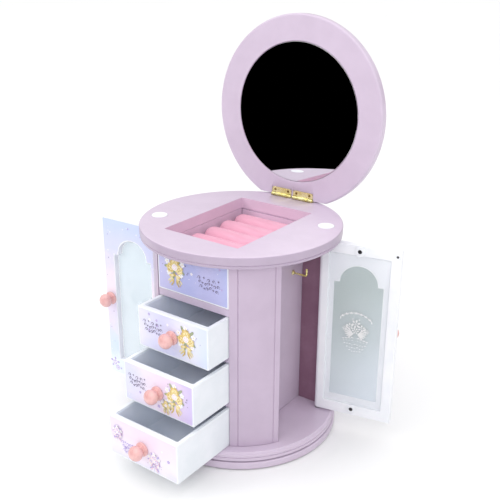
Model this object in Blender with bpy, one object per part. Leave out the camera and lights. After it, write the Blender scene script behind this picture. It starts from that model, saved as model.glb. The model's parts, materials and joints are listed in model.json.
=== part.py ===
"""Round jewellery cabinet on a turntable base: lidded ring tray, three drawers, two side doors.

Frame: metres, +Z up, origin at the centre of the base's underside.  The drawers open towards -Y,
the doors close the niches at +X and -X, and the lid is hinged at the back, towards +Y.
The pose modelled here is the open display pose: lid up, doors out, drawers stepped.
"""
import math

import bmesh
import bpy
from mathutils import Vector

MM = 0.001
GAP = 0.3 * MM                      # clearance between neighbouring pieces
FACETS = 48                         # facets of the large turned pieces

# ---- driving dimensions -------------------------------------------------------------------
PLATE_R = 105.0 * MM                # radius of the top plate and of the whole cabinet
BODY_R = 92.0 * MM                  # radius of the curved corner boards
FRONT_HALF = 44.7 * MM              # half width of a drawer
NICHE_HALF = 43.3 * MM              # half width of a side niche
BOARD = 3.5 * MM                    # thickness of the carcass boards

FELT_T = 1.0 * MM
BASE_TOP = 8.8 * MM
RACE_IN = 36.0 * MM                 # bearing ring between the base and the plinth
RACE_OUT = 50.0 * MM
RACE_Z = 8.7 * MM                   # where the plinth's foot ring rides on the bearing
PLINTH_Z0 = 10.0 * MM
PLINTH_Z1 = 19.5 * MM
BODY_Z0 = PLINTH_Z1 + GAP
PLATE_Z0 = 220.6 * MM
PLATE_Z1 = 232.6 * MM
BODY_Z1 = PLATE_Z0 - GAP

DRAWER_H = 43.6 * MM
DRAWER_PITCH = 50.55 * MM
DRAWER_Z0 = 20.1 * MM
DRAWER_LEN = 146.0 * MM
FRONT_Y = -79.5 * MM                # front plane of a shut drawer
DRAWER_PULL = {"lower": 79.1 * MM, "middle": 54.7 * MM, "upper": 31.6 * MM}

WELL_HALF_X = 46.2 * MM
WELL_Y0 = -67.0 * MM
WELL_Y1 = 63.0 * MM
TRAY_Z0 = 199.8 * MM
TRAY_FLOOR = 3.0 * MM
ROLL_COUNT = 5

PIVOT_X = 79.0 * MM
PIVOT_Y = 38.0 * MM
DOOR_T = 8.5 * MM
DOOR_REACH = 80.7 * MM              # pivot axis to the free edge
DOOR_Z0 = 21.5 * MM
DOOR_Z1 = 218.0 * MM
RIGHT_DOOR_OPEN = 102.6             # degrees from shut
LEFT_DOOR_OPEN = 93.0

LID_R = 104.0 * MM
LID_T = 10.0 * MM
MIRROR_R = 75.4 * MM
LID_AXIS_Y = 94.6 * MM
LID_AXIS_Z = PLATE_Z1 + 1.3 * MM
LID_REACH = 94.2 * MM               # hinge axis to the lid's centre
LID_LEAN = 2.5                      # degrees past upright
HINGE_X = 14.1 * MM
HINGE_HALF = 12.8 * MM
BARREL_R = 2.0 * MM

MOVEMENT_Z = 186.2 * MM             # height of the musical movement's arbors
KEY_X = -12.0 * MM
CYLINDER_Y = 52.0 * MM


# ---- materials ----------------------------------------------------------------------------
def material(name, rgb, roughness, metallic=0.0):
    mat = bpy.data.materials.new(name)
    mat.use_nodes = True
    shader = mat.node_tree.nodes["Principled BSDF"]
    shader.inputs["Base Color"].default_value = (*rgb, 1.0)
    shader.inputs["Roughness"].default_value = roughness
    shader.inputs["Metallic"].default_value = metallic
    mat.diffuse_color = (*rgb, 1.0)
    return mat


LAVENDER = ((0.71, 0.56, 0.72), 0.38)
WHITE = ((0.86, 0.86, 0.88), 0.35)
FELT = ((0.16, 0.17, 0.21), 0.95)
PINK_CLOTH = ((0.86, 0.36, 0.47), 0.9)
PINK_WOOD = ((0.87, 0.50, 0.46), 0.35)
BRASS = ((0.83, 0.60, 0.20), 0.25, 1.0)
STEEL = ((0.60, 0.60, 0.62), 0.3, 1.0)
PANE = ((0.55, 0.62, 0.60), 0.1)
MIRROR = ((0.9, 0.9, 0.9), 0.02, 1.0)


# ---- mesh helpers -------------------------------------------------------------------------
def finish(name, bm, look, parent=None, location=(0, 0, 0), smooth=True):
    """Turn a bmesh into a named object whose faces point outwards."""
    bmesh.ops.remove_doubles(bm, verts=bm.verts, dist=1e-6)
    bmesh.ops.recalc_face_normals(bm, faces=bm.faces)
    mesh = bpy.data.meshes.new(name)
    bm.to_mesh(mesh)
    bm.free()
    obj = bpy.data.objects.new(name, mesh)
    bpy.context.scene.collection.objects.link(obj)
    obj.location = location
    obj.parent = parent
    if look is not None:
        mesh.materials.append(material(name + "_material", *look))
    if smooth:
        mesh.shade_smooth()
        mesh.set_sharp_from_angle(angle=math.radians(35))
    return obj


def cutter(name, bm, parent=None, location=(0, 0, 0)):
    obj = finish(name, bm, None, parent, location, smooth=False)
    obj.hide_render = True
    obj.display_type = "WIRE"
    return obj


def boolean(obj, tool, operation):
    step = obj.modifiers.new(tool.name, "BOOLEAN")
    step.operation = operation
    step.solver = "EXACT"
    step.object = tool


def cut(obj, tool):
    boolean(obj, tool, "DIFFERENCE")


def join(obj, tool):
    boolean(obj, tool, "UNION")


def add_box(bm, low, high):
    corners = [Vector((x, y, z)) for z in (low[2], high[2]) for y in (low[1], high[1])
               for x in (low[0], high[0])]
    v = [bm.verts.new(c) for c in corners]
    for face in ((0, 1, 3, 2), (4, 6, 7, 5), (0, 4, 5, 1), (2, 3, 7, 6), (0, 2, 6, 4), (1, 5, 7, 3)):
        bm.faces.new([v[i] for i in face])


def add_prism(bm, outline, low, high, axis="Z"):
    """Extrude a closed outline between two levels of the given axis."""
    def place(a, b, level):
        if axis == "Z":
            return Vector((a, b, level))
        if axis == "X":
            return Vector((level, a, b))
        return Vector((a, level, b))
    lower = [bm.verts.new(place(a, b, low)) for a, b in outline]
    upper = [bm.verts.new(place(a, b, high)) for a, b in outline]
    count = len(outline)
    for i in range(count):
        j = (i + 1) % count
        bm.faces.new((lower[i], lower[j], upper[j], upper[i]))
    bm.faces.new(lower)
    bm.faces.new(list(reversed(upper)))


def add_turned(bm, profile, facets=FACETS, centre=(0, 0, 0), axis="Z"):
    """Turn a closed profile of (radius, height) points about an axis through centre."""
    def place(radius, angle, height):
        a = radius * math.cos(angle)
        b = radius * math.sin(angle)
        if axis == "Z":
            point = Vector((a, b, height))
        elif axis == "X":
            point = Vector((height, a, b))
        else:
            point = Vector((b, height, a))
        return point + Vector(centre)
    rings = []
    for radius, height in profile:
        if radius < 1e-7:
            rings.append([bm.verts.new(place(0.0, 0.0, height))] * facets)
        else:
            step = 2 * math.pi / facets
            rings.append([bm.verts.new(place(radius, step * k, height)) for k in range(facets)])
    count = len(profile)
    for i in range(count):
        a, b = rings[i], rings[(i + 1) % count]
        if a[0] is a[1] and b[0] is b[1]:
            continue
        for k in range(facets):
            n = (k + 1) % facets
            corners = [a[k]]
            for vert in (a[n], b[n], b[k]):
                if vert not in corners:
                    corners.append(vert)
            bm.faces.new(corners)


def box(name, low, high, look, parent=None, location=(0, 0, 0)):
    bm = bmesh.new()
    add_box(bm, low, high)
    return finish(name, bm, look, parent, location, smooth=False)


def prism(name, outline, low, high, look, parent=None, location=(0, 0, 0), axis="Z"):
    bm = bmesh.new()
    add_prism(bm, outline, low, high, axis)
    return finish(name, bm, look, parent, location)


def turned(name, profile, look, parent=None, location=(0, 0, 0), facets=FACETS, axis="Z"):
    bm = bmesh.new()
    add_turned(bm, profile, facets, (0, 0, 0), axis)
    return finish(name, bm, look, parent, location)


def open_box(name, low, high, walls, floor, look, parent=None, location=(0, 0, 0)):
    """A box without a top; walls gives the thickness at -X, +X, -Y and +Y."""
    inner_low = (low[0] + walls[0], low[1] + walls[2])
    inner_high = (high[0] - walls[1], high[1] - walls[3])
    bm = bmesh.new()

    def ring(a, b, z):
        pts = ((a[0], a[1]), (b[0], a[1]), (b[0], b[1]), (a[0], b[1]))
        return [bm.verts.new((x, y, z)) for x, y in pts]
    rings = [ring(low, high, low[2]), ring(low, high, high[2]),
             ring(inner_low, inner_high, high[2]), ring(inner_low, inner_high, low[2] + floor)]
    for a, b in zip(rings, rings[1:]):
        for i in range(4):
            j = (i + 1) % 4
            bm.faces.new((a[i], a[j], b[j], b[i]))
    bm.faces.new(rings[0])
    bm.faces.new(rings[-1])
    return finish(name, bm, look, parent, location, smooth=False)


def joint_empty(name, location, rotation=(0, 0, 0)):
    empty = bpy.data.objects.new(name, None)
    empty.empty_display_size = 0.02
    empty.location = location
    empty.rotation_euler = rotation
    bpy.context.scene.collection.objects.link(empty)
    return empty


def arc(radius, start, end, steps, centre=(0.0, 0.0)):
    """Points on an arc, angles in degrees."""
    points = []
    for k in range(steps + 1):
        angle = math.radians(start + (end - start) * k / steps)
        points.append((centre[0] + radius * math.cos(angle), centre[1] + radius * math.sin(angle)))
    return points


# ---- base and turntable -------------------------------------------------------------------
def build_base():
    race_pocket = RACE_OUT + 2.0 * MM
    base_r = PLATE_R + 0.4 * MM
    edge = 0.8 * MM
    turned("base_felt_pad", [(0, 0), (102 * MM, 0), (102 * MM, FELT_T), (0, FELT_T)], FELT)
    z0 = FELT_T + GAP
    pocket_z = BASE_TOP - 2.5 * MM
    turned("base_disc", [(0, z0), (base_r - edge, z0), (base_r, z0 + edge), (base_r, BASE_TOP - edge),
                         (base_r - edge, BASE_TOP), (race_pocket, BASE_TOP), (race_pocket, pocket_z),
                         (0, pocket_z)], LAVENDER)
    low, high = pocket_z + GAP, RACE_Z - GAP
    turned("turntable_race", [(RACE_IN, low), (RACE_OUT, low), (RACE_OUT, high), (RACE_IN, high)], STEEL)
    shank, head, seat = 4.2 * MM, 7.5 * MM, 16.3 * MM
    turned("turntable_bolt", [(0, low), (shank, low), (shank, seat), (head, seat),
                              (head, seat + 2.7 * MM), (0, seat + 2.7 * MM)], STEEL, facets=16)


def build_plinth():
    rim = PLATE_R - 0.6 * MM
    z = PLINTH_Z0
    outer = [(rim - 0.8 * MM, z), (rim, z + 0.8 * MM), (rim, z + 3.4 * MM), (rim - 1.1 * MM, z + 3.8 * MM),
             (rim - 1.1 * MM, z + 4.2 * MM), (rim - 0.1 * MM, z + 5.0 * MM), (rim, z + 6.0 * MM),
             (rim - 0.2 * MM, z + 7.0 * MM), (rim - 1.1 * MM, z + 7.6 * MM), (rim - 1.1 * MM, z + 8.0 * MM),
             (rim - 2.1 * MM, z + 8.5 * MM), (rim - 2.8 * MM, PLINTH_Z1)]
    bore, pocket, pocket_z = 4.6 * MM, 8.0 * MM, 16.0 * MM
    inner = [(pocket, PLINTH_Z1), (pocket, pocket_z), (bore, pocket_z), (bore, z),
             (RACE_IN, z), (RACE_IN, RACE_Z), (RACE_OUT, RACE_Z), (RACE_OUT, z)]
    turned("plinth_plate", outer + inner, LAVENDER)


# ---- carcass ------------------------------------------------------------------------------
def corner_outline(sign_x, sign_y):
    """Curved corner board with its return wall; two shallow grooves set off the stiles."""
    front_x = FRONT_HALF + 0.7 * MM
    start = math.degrees(math.acos(front_x / BODY_R))
    end = math.degrees(math.asin((NICHE_HALF + 0.6 * MM) / BODY_R))
    groove_angles = (start - math.degrees(8.6 * MM / BODY_R), end + math.degrees(6.0 * MM / BODY_R))
    half = math.degrees(0.6 * MM / BODY_R)
    stations = [(start, 0.0)]
    for centre in groove_angles:
        stations += [(centre + half, 0.0), (centre, 0.8 * MM), (centre - half, 0.0)]
    stations.append((end, 0.0))
    steps = 6
    for k in range(1, steps):
        stations.append((groove_angles[0] + (groove_angles[1] - groove_angles[0]) * k / steps, 0.0))
    stations.sort(reverse=True)
    points = []
    for angle, depth in stations:
        reach = BODY_R - depth
        points.append((reach * math.cos(math.radians(angle)), reach * math.sin(math.radians(angle))))
    wall_x = FRONT_HALF + GAP * 2 + BOARD + GAP
    inner_r = BODY_R - BOARD
    back_y = NICHE_HALF + BOARD
    points += [(points[-1][0] - 0.6 * MM, NICHE_HALF), (wall_x, NICHE_HALF), (wall_x, back_y)]
    points += arc(inner_r, math.degrees(math.asin(back_y / inner_r)),
                  math.degrees(math.acos(front_x / inner_r)), 6)
    return [(sign_x * x, sign_y * y) for x, y in points]


def build_carcass():
    for name, sx, sy in (("front_right", 1, -1), ("front_left", -1, -1),
                         ("rear_right", 1, 1), ("rear_left", -1, 1)):
        prism("corner_panel_" + name, corner_outline(sx, sy), BODY_Z0, BODY_Z1, LAVENDER)

    side_in = FRONT_HALF + 2 * GAP
    side_y = 73.4 * MM
    for name, s in (("right", 1), ("left", -1)):
        xs = sorted((s * side_in, s * (side_in + BOARD)))
        box("carcass_side_" + name, (xs[0], -side_y, BODY_Z0), (xs[1], side_y, TRAY_Z0 - GAP), LAVENDER)

    shelf_half = FRONT_HALF + GAP
    shelf_front, shelf_back = FRONT_Y + GAP, 75.5 * MM
    for k, name in enumerate(("lower", "middle", "upper")):
        z0 = DRAWER_Z0 + DRAWER_PITCH * k + DRAWER_H + 2 * GAP
        z1 = DRAWER_Z0 + DRAWER_PITCH * (k + 1) - 2 * GAP
        if name == "upper":
            z1 += 1.9 * MM
        box("shelf_" + name, (-shelf_half, shelf_front, z0), (shelf_half, shelf_back, z1), LAVENDER)

    panel_z0 = DRAWER_Z0 + DRAWER_PITCH * 3 - 2 * GAP + 1.9 * MM + GAP
    box("fixed_front_panel", (-FRONT_HALF, FRONT_Y, panel_z0),
        (FRONT_HALF, FRONT_Y + 5 * MM, BODY_Z1), WHITE)

    rear = box("rear_panel", (-shelf_half, shelf_back + 2 * GAP, BODY_Z0),
               (shelf_half, -FRONT_Y, BODY_Z1), LAVENDER)
    bm = bmesh.new()
    add_turned(bm, [(0, 70 * MM), (3.2 * MM, 70 * MM), (3.2 * MM, 85 * MM), (0, 85 * MM)], 16,
               (KEY_X, 0, MOVEMENT_Z), "Y")
    cut(rear, cutter("key_hole_cutter", bm))


def build_top_plate():
    rim = PLATE_R
    z0, z1 = PLATE_Z0, PLATE_Z1
    profile = [(0, z0), (rim - 1.6 * MM, z0), (rim - 0.4 * MM, z0 + 0.7 * MM), (rim - 0.3 * MM, z0 + 2.4 * MM),
               (rim - 1.1 * MM, z0 + 2.9 * MM), (rim - 1.1 * MM, z0 + 3.4 * MM), (rim, z0 + 4.1 * MM),
               (rim, z0 + 10.4 * MM), (rim - 0.5 * MM, z0 + 11.5 * MM), (rim - 1.6 * MM, z1), (0, z1)]
    plate = turned("top_plate", profile, LAVENDER)
    over = z1 + 2 * MM
    bm = bmesh.new()
    add_box(bm, (-WELL_HALF_X, WELL_Y0, z0 - 2 * MM), (WELL_HALF_X, WELL_Y1, over))
    for s in (1, -1):
        add_turned(bm, [(0, z0 - 2 * MM), (1.8 * MM, z0 - 2 * MM), (1.8 * MM, z1 - 0.9 * MM),
                        (8.8 * MM, z1 - 0.9 * MM), (8.8 * MM, over), (0, over)], 24,
                   (s * PIVOT_X, s * PIVOT_Y, 0))
        add_box(bm, (s * HINGE_X - HINGE_HALF - 0.5 * MM, LID_AXIS_Y - 2.5 * MM, z1 - 1.1 * MM),
                (s * HINGE_X + HINGE_HALF + 0.5 * MM, LID_AXIS_Y + 4.8 * MM, over))
    cut(plate, cutter("top_plate_cutter", bm))


def build_ring_tray():
    outer_x = FRONT_HALF + 2 * GAP + BOARD
    wall_x = outer_x - WELL_HALF_X
    wall_y = 3.0 * MM
    open_box("ring_tray", (-outer_x, WELL_Y0 - wall_y, TRAY_Z0), (outer_x, WELL_Y1 + wall_y, BODY_Z1),
             (wall_x, wall_x, wall_y, wall_y), TRAY_FLOOR, LAVENDER)
    z0 = TRAY_Z0 + TRAY_FLOOR + GAP
    y0, y1 = WELL_Y0 + 0.4 * MM, WELL_Y1 - 0.4 * MM
    roll_r = (y1 - y0) / ROLL_COUNT / 2
    outline = [(y1, z0), (y0, z0)]
    for k in range(ROLL_COUNT):
        centre = y0 + roll_r * (2 * k + 1)
        outline += arc(roll_r - 0.15 * MM, 172, 8, 8, (centre, z0 + 0.6 * MM))
    prism("ring_roll_pad", outline, -WELL_HALF_X + 0.4 * MM, WELL_HALF_X - 0.4 * MM, PINK_CLOTH, axis="X")


# ---- drawers ------------------------------------------------------------------------------
def knob_profile():
    """Ball knob: foot, waisted neck and rounded head, heights measured from its seat."""
    foot, collar, neck, head, depth = 7.4 * MM, 6.0 * MM, 4.6 * MM, 7.7 * MM, 6.2 * MM
    points = [(0, 0), (foot, 0), (foot, 2.0 * MM), (collar, 2.6 * MM), (collar, 3.5 * MM),
              (neck, 4.2 * MM)]
    centre = 9.8 * MM
    for k in range(6):
        angle = math.radians(-50 + 120 * k / 5)
        points.append((head * math.cos(angle), centre + depth * math.sin(angle)))
    points.append((0, centre + depth))
    return points


def build_drawers():
    for k, name in enumerate(("lower", "middle", "upper")):
        z0 = DRAWER_Z0 + DRAWER_PITCH * k
        slide = joint_empty("drawer_axis_" + name, (0, FRONT_Y - DRAWER_PULL[name], z0))
        front, wall, floor = 5.5 * MM, 4.0 * MM, 3.0 * MM
        open_box("drawer_box_" + name, (-FRONT_HALF, 0, 0), (FRONT_HALF, DRAWER_LEN, DRAWER_H),
                 (wall, wall, front, wall), floor, WHITE, slide)
        skin = 0.7 * MM
        low = (-FRONT_HALF + wall + GAP, front + GAP, floor + GAP)
        high = (FRONT_HALF - wall - GAP, DRAWER_LEN - wall - GAP, DRAWER_H - 1.0 * MM)
        open_box("drawer_lining_" + name, low, high, (skin,) * 4, skin, FELT, slide)
        turned("drawer_knob_" + name, [(r, -h) for r, h in knob_profile()], PINK_WOOD, slide,
               (0, -GAP, DRAWER_H / 2), 20, "Y")


# ---- side doors ---------------------------------------------------------------------------
def build_door(name, sign, open_angle):
    """Door in its own frame: +X runs from the pivot to the free edge and -Y is the inner side."""
    pivot = joint_empty("door_axis_" + name, (sign * PIVOT_X, sign * PIVOT_Y, 0),
                        (0, 0, math.radians(-90 * sign + open_angle)))
    half = DOOR_T / 2
    edge = 0.8 * MM
    outline = arc(half, 90, 270, 8)
    outline += [(DOOR_REACH - edge, -half), (DOOR_REACH, -half + edge),
                (DOOR_REACH, half - edge), (DOOR_REACH - edge, half)]
    frame = prism("door_frame_" + name, outline, DOOR_Z0, DOOR_Z1, WHITE, pivot)

    middle = (DOOR_REACH - half) / 2
    recess_half, recess_z0, recess_z1 = 32.2 * MM, 33.5 * MM, 207.2 * MM
    recess_depth = 2.4 * MM
    clip_r, clip_zs = 5.5 * MM, (28.7 * MM, 211.9 * MM)
    bm = bmesh.new()
    add_box(bm, (middle - recess_half, -half - 2 * MM, recess_z0),
            (middle + recess_half, -half + recess_depth, recess_z1))
    for z0, z1 in ((DOOR_Z0 - 2 * MM, DOOR_Z0 + 8.5 * MM), (DOOR_Z1 - 9.5 * MM, DOOR_Z1 + 2 * MM)):
        add_turned(bm, [(0, z0), (1.8 * MM, z0), (1.8 * MM, z1), (0, z1)], 12)
    for z in clip_zs:
        add_turned(bm, [(0, -half - 2 * MM), (1.5 * MM, -half - 2 * MM), (1.5 * MM, 2 * MM), (0, 2 * MM)],
                   12, (middle, 0, z), "Y")
    cut(frame, cutter("door_recess_cutter_" + name, bm, pivot))

    window_half, window_z0, shoulder_z, arch_r = 26.2 * MM, 42.5 * MM, 175.0 * MM, 20.2 * MM
    window = [(middle - window_half, window_z0), (middle + window_half, window_z0),
              (middle + window_half, shoulder_z)]
    window += arc(arch_r, 0, 180, 12, (middle, shoulder_z))
    window.append((middle - window_half, shoulder_z))
    bm = bmesh.new()
    add_prism(bm, window, -half - 2 * MM, half + 2 * MM, "Y")
    cut(frame, cutter("door_window_cutter_" + name, bm, pivot))

    inset = 0.4 * MM
    box("door_pane_" + name, (middle - recess_half + inset, -half + 0.1 * MM, recess_z0 + inset),
        (middle + recess_half - inset, -half + recess_depth - GAP, recess_z1 - inset), PANE, pivot)
    for place, z in zip(("bottom", "top"), clip_zs):
        seat = half + GAP
        turned("pane_clip_%s_%s" % (place, name),
               [(0, 1.5 * MM - half), (1.2 * MM, 1.5 * MM - half), (1.2 * MM, -seat), (clip_r, -seat),
                (clip_r, -seat - 0.6 * MM), (2.2 * MM, -seat - 0.9 * MM), (0, -seat - 1.2 * MM)],
               WHITE, pivot, (middle, 0, z), 16, "Y")
    turned("strike_plate_" + name, [(0, -half - GAP), (2.6 * MM, -half - GAP),
                                    (2.6 * MM, -half - 1.1 * MM), (0, -half - 1.1 * MM)],
           STEEL, pivot, (DOOR_REACH - 4.0 * MM, 0, 212.5 * MM), 16, "Y")
    turned("door_knob_" + name, knob_profile(), PINK_WOOD, pivot,
           (DOOR_REACH - 8.4 * MM, half + GAP, (DOOR_Z0 + DOOR_Z1) / 2), 20, "Y")


def build_door_fittings(name, sign):
    place = (sign * PIVOT_X, sign * PIVOT_Y, 0)
    shank = 1.5 * MM
    z = BODY_Z0
    turned("bottom_pivot_pin_" + name, [(0, z), (4 * MM, z), (4 * MM, z + 1 * MM), (shank, z + 1 * MM),
                                        (shank, z + 9 * MM), (0, z + 9 * MM)], STEEL, None, place, 12)
    cap_z0, cap_z1 = PLATE_Z1 - 0.6 * MM, PLATE_Z1 + 0.35 * MM
    turned("top_pivot_pin_" + name, [(0, DOOR_Z1 - 8.5 * MM), (shank, DOOR_Z1 - 8.5 * MM), (shank, cap_z0),
                                     (8.5 * MM, cap_z0), (8.5 * MM, cap_z1 - 0.3 * MM),
                                     (8.2 * MM, cap_z1), (0, cap_z1)], WHITE, None, place, 24)
    catch_x = sorted((sign * 64.0 * MM, sign * 72.8 * MM))
    catch_y = sorted((-sign * (NICHE_HALF - GAP), -sign * (NICHE_HALF - 7.0 * MM)))
    box("door_magnet_" + name, (catch_x[0], catch_y[0], 208.5 * MM), (catch_x[1], catch_y[1], 216.5 * MM),
        WHITE)


def build_hooks():
    """Square-bend screw hooks on the niche walls: a straight shank, then a short upturn."""
    wall = FRONT_HALF + 2 * GAP + BOARD
    reach, rise, bend, wire = 17.0 * MM, 8.0 * MM, 2.2 * MM, 1.0 * MM
    hook_y, hook_z = 25.0 * MM, 178.0 * MM
    for side, sx in (("right", 1), ("left", -1)):
        curve = bpy.data.curves.new("necklace_hook_" + side, "CURVE")
        curve.dimensions = "3D"
        curve.bevel_depth = wire
        curve.bevel_resolution = 2
        curve.use_fill_caps = True
        corner = arc(bend, -90, 0, 4, (reach - bend, bend))
        path = [(GAP, 0.0)] + corner + [(reach, rise)]
        spline = curve.splines.new("POLY")
        spline.points.add(len(path) - 1)
        for point, (out, up) in zip(spline.points, path):
            point.co = (sx * out, 0, up, 1)
        obj = bpy.data.objects.new(curve.name, curve)
        obj.location = (sx * wall, sx * hook_y, hook_z)
        curve.materials.append(material(curve.name + "_material", *BRASS))
        bpy.context.scene.collection.objects.link(obj)


# ---- lid ----------------------------------------------------------------------------------
def build_lid():
    """Lid in its own frame: origin on the hinge axis, +Z up the lid, -Y its mirror side."""
    lid = joint_empty("lid_axis", (0, LID_AXIS_Y, LID_AXIS_Z), (math.radians(-LID_LEAN), 0, 0))
    recess_r, recess = MIRROR_R + 0.5 * MM, 2.3 * MM
    centre = (0, 0, LID_REACH)
    profile = [(0, recess), (recess_r, recess), (recess_r, 0), (LID_R - 2.0 * MM, 0),
               (LID_R - 0.5 * MM, 0.6 * MM), (LID_R, 2.2 * MM), (LID_R, LID_T - 2.6 * MM),
               (LID_R - 0.9 * MM, LID_T - 0.8 * MM), (LID_R - 3.0 * MM, LID_T), (0, LID_T)]
    disc = turned("lid_disc", profile, LAVENDER, lid, centre, axis="Y")
    bm = bmesh.new()
    add_box(bm, (-LID_R, -5 * MM, -20 * MM), (LID_R, LID_T + 5 * MM, 0.2 * MM))
    cut(disc, cutter("lid_chord_cutter", bm, lid))
    mortise = [(-1.0 * MM, -1.0 * MM), (2.5 * MM, -1.0 * MM), (2.5 * MM, 2.5 * MM),
               (1.15 * MM, 2.5 * MM), (1.15 * MM, 8.6 * MM), (-1.0 * MM, 8.6 * MM)]
    bm = bmesh.new()
    for s in (1, -1):
        add_prism(bm, mortise, s * HINGE_X - HINGE_HALF - 0.5 * MM, s * HINGE_X + HINGE_HALF + 0.5 * MM, "X")
    cut(disc, cutter("lid_mortise_cutter", bm, lid))
    turned("lid_mirror", [(0, 0.3 * MM), (MIRROR_R, 0.3 * MM), (MIRROR_R, 2.0 * MM), (0, 2.0 * MM)],
           MIRROR, lid, centre, axis="Y")
    build_lid_hinges(lid)


def build_lid_hinges(lid):
    """Butt hinges: a three-knuckle barrel, one leaf let into the lid and one into the plate."""
    leaf_t, knuckle = 0.8 * MM, 7.4 * MM
    start = math.degrees(math.asin(math.sqrt(BARREL_R ** 2 - (0.05 * MM + leaf_t) ** 2) / BARREL_R))
    end = -360 + math.degrees(math.acos(0.05 * MM / BARREL_R))
    moving = [(0.05 * MM, 8.2 * MM), (0.05 * MM + leaf_t, 8.2 * MM)] + arc(BARREL_R, start, end, 12)
    lift = leaf_t - BARREL_R
    fixed = [(4.4 * MM, -BARREL_R), (4.4 * MM, lift)]
    fixed += arc(BARREL_R, math.degrees(math.asin(lift / BARREL_R)), 270, 12)
    far = 3 * MM
    for name, x in (("right", HINGE_X), ("left", -HINGE_X)):
        leaf = prism("lid_hinge_moving_" + name, moving, x - HINGE_HALF, x + HINGE_HALF, BRASS, lid, axis="X")
        bm = bmesh.new()
        for a, b in ((-HINGE_HALF - 1 * MM, -knuckle), (knuckle, HINGE_HALF + 1 * MM)):
            add_box(bm, (x + a, -far, -far), (x + b, far, BARREL_R + 0.3 * MM))
        cut(leaf, cutter("moving_knuckle_cutter_" + name, bm, lid))
        leaf = prism("lid_hinge_fixed_" + name, fixed, x - HINGE_HALF, x + HINGE_HALF, BRASS, None,
                     (0, LID_AXIS_Y, LID_AXIS_Z), "X")
        bm = bmesh.new()
        add_box(bm, (x - knuckle - GAP, -far, -far), (x + knuckle + GAP, BARREL_R + 0.3 * MM, far))
        cut(leaf, cutter("fixed_knuckle_cutter_" + name, bm, None, (0, LID_AXIS_Y, LID_AXIS_Z)))


# ---- musical movement ---------------------------------------------------------------------
def build_movement():
    floor_z = DRAWER_Z0 + DRAWER_PITCH * 3 - 2 * GAP + 1.9 * MM + GAP
    bed, cheek, half = 2.4 * MM, 2.5 * MM, 27.0 * MM
    top = 192.0 * MM
    channel = [(-half, floor_z), (half, floor_z), (half, top), (half - cheek, top),
               (half - cheek, floor_z + bed), (-half + cheek, floor_z + bed), (-half + cheek, top),
               (-half, top)]
    frame = prism("movement_frame", channel, 26 * MM, 71 * MM, BRASS, axis="Y")
    bm = bmesh.new()
    add_turned(bm, [(0, -30 * MM), (1.5 * MM, -30 * MM), (1.5 * MM, 30 * MM), (0, 30 * MM)], 12,
               (0, CYLINDER_Y, MOVEMENT_Z), "X")
    cut(frame, cutter("arbor_hole_cutter", bm))

    comb_z = MOVEMENT_Z - 0.6 * MM
    inner = half - cheek
    bm = bmesh.new()
    add_box(bm, (-20 * MM, 28 * MM, floor_z + bed / 2), (20 * MM, 38 * MM, comb_z - GAP))
    join(frame, cutter("comb_block_guide", bm))
    teeth, tooth_y, root_y = 18, 44.4 * MM, 33 * MM
    pitch = 40 * MM / teeth
    comb = [(-20 * MM, 28 * MM), (20 * MM, 28 * MM)]
    for k in range(teeth):
        right = 20 * MM - pitch * k
        left = right - pitch * 0.78
        comb += [(right, tooth_y), (left, tooth_y)]
        if k < teeth - 1:
            comb += [(left, root_y), (right - pitch, root_y)]
    prism("tone_comb", comb, comb_z, comb_z + 1.2 * MM, STEEL)

    drum_r, arbor_r, drum = 7.0 * MM, 1.2 * MM, inner - 0.6 * MM
    turned("pinned_cylinder", [(0, -half + 0.4 * MM), (arbor_r, -half + 0.4 * MM), (arbor_r, -drum),
                               (drum_r, -drum), (drum_r, drum), (arbor_r, drum),
                               (arbor_r, half - 0.4 * MM), (0, half - 0.4 * MM)],
           BRASS, None, (0, CYLINDER_Y, MOVEMENT_Z), 20, "X")

    turned("spring_barrel", [(0, 60.2 * MM), (9.4 * MM, 60.2 * MM), (9.4 * MM, 62 * MM), (10 * MM, 62 * MM),
                             (10 * MM, 64 * MM), (9.4 * MM, 64 * MM), (9.4 * MM, 70 * MM), (0, 70 * MM)],
           BRASS, None, (KEY_X, 0, MOVEMENT_Z), 20, "Y")
    shaft, y0, wing_y0, wing_y1 = 2.4 * MM, 70.3 * MM, 85 * MM, 95 * MM
    key = turned("winding_key", [(0, y0), (shaft, y0), (shaft, 81 * MM), (3.4 * MM, 81 * MM),
                                 (3.4 * MM, wing_y0 + 2 * MM), (0, wing_y0 + 2 * MM)],
                 BRASS, None, (KEY_X, 0, MOVEMENT_Z), 16, "Y")
    bm = bmesh.new()
    wing = arc(5 * MM, 90, -90, 6, (5 * MM, 0)) + arc(5 * MM, 270, 90, 6, (-5 * MM, 0))
    wing = [(x, wing_y0 + 5 * MM + y) for x, y in wing]
    add_prism(bm, wing, -0.9 * MM, 0.9 * MM, "Z")
    join(key, cutter("key_wing_guide", bm, None, (KEY_X, 0, MOVEMENT_Z)))

    z0 = floor_z + bed + GAP
    turned("governor", [(0, z0), (1.2 * MM, z0), (1.2 * MM, z0 + 4 * MM), (4.5 * MM, z0 + 4 * MM),
                        (4.5 * MM, z0 + 6 * MM), (1.2 * MM, z0 + 6 * MM), (1.2 * MM, z0 + 14 * MM),
                        (0, z0 + 14 * MM)], STEEL, None, (14 * MM, 65 * MM, 0), 12)


def main():
    for obj in list(bpy.data.objects):
        bpy.data.objects.remove(obj, do_unlink=True)
    build_base()
    build_plinth()
    build_carcass()
    build_top_plate()
    build_ring_tray()
    build_drawers()
    build_door("right", 1, RIGHT_DOOR_OPEN)
    build_door("left", -1, LEFT_DOOR_OPEN)
    for name, sign in (("right", 1), ("left", -1)):
        build_door_fittings(name, sign)
    build_hooks()
    build_lid()
    build_movement()


main()
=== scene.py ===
import json
import random

import bmesh
import bpy
from math import acos, asin, atan2, copysign, cos, degrees, pi, radians, sin, sqrt, tan
from mathutils import Matrix, Vector


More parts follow.
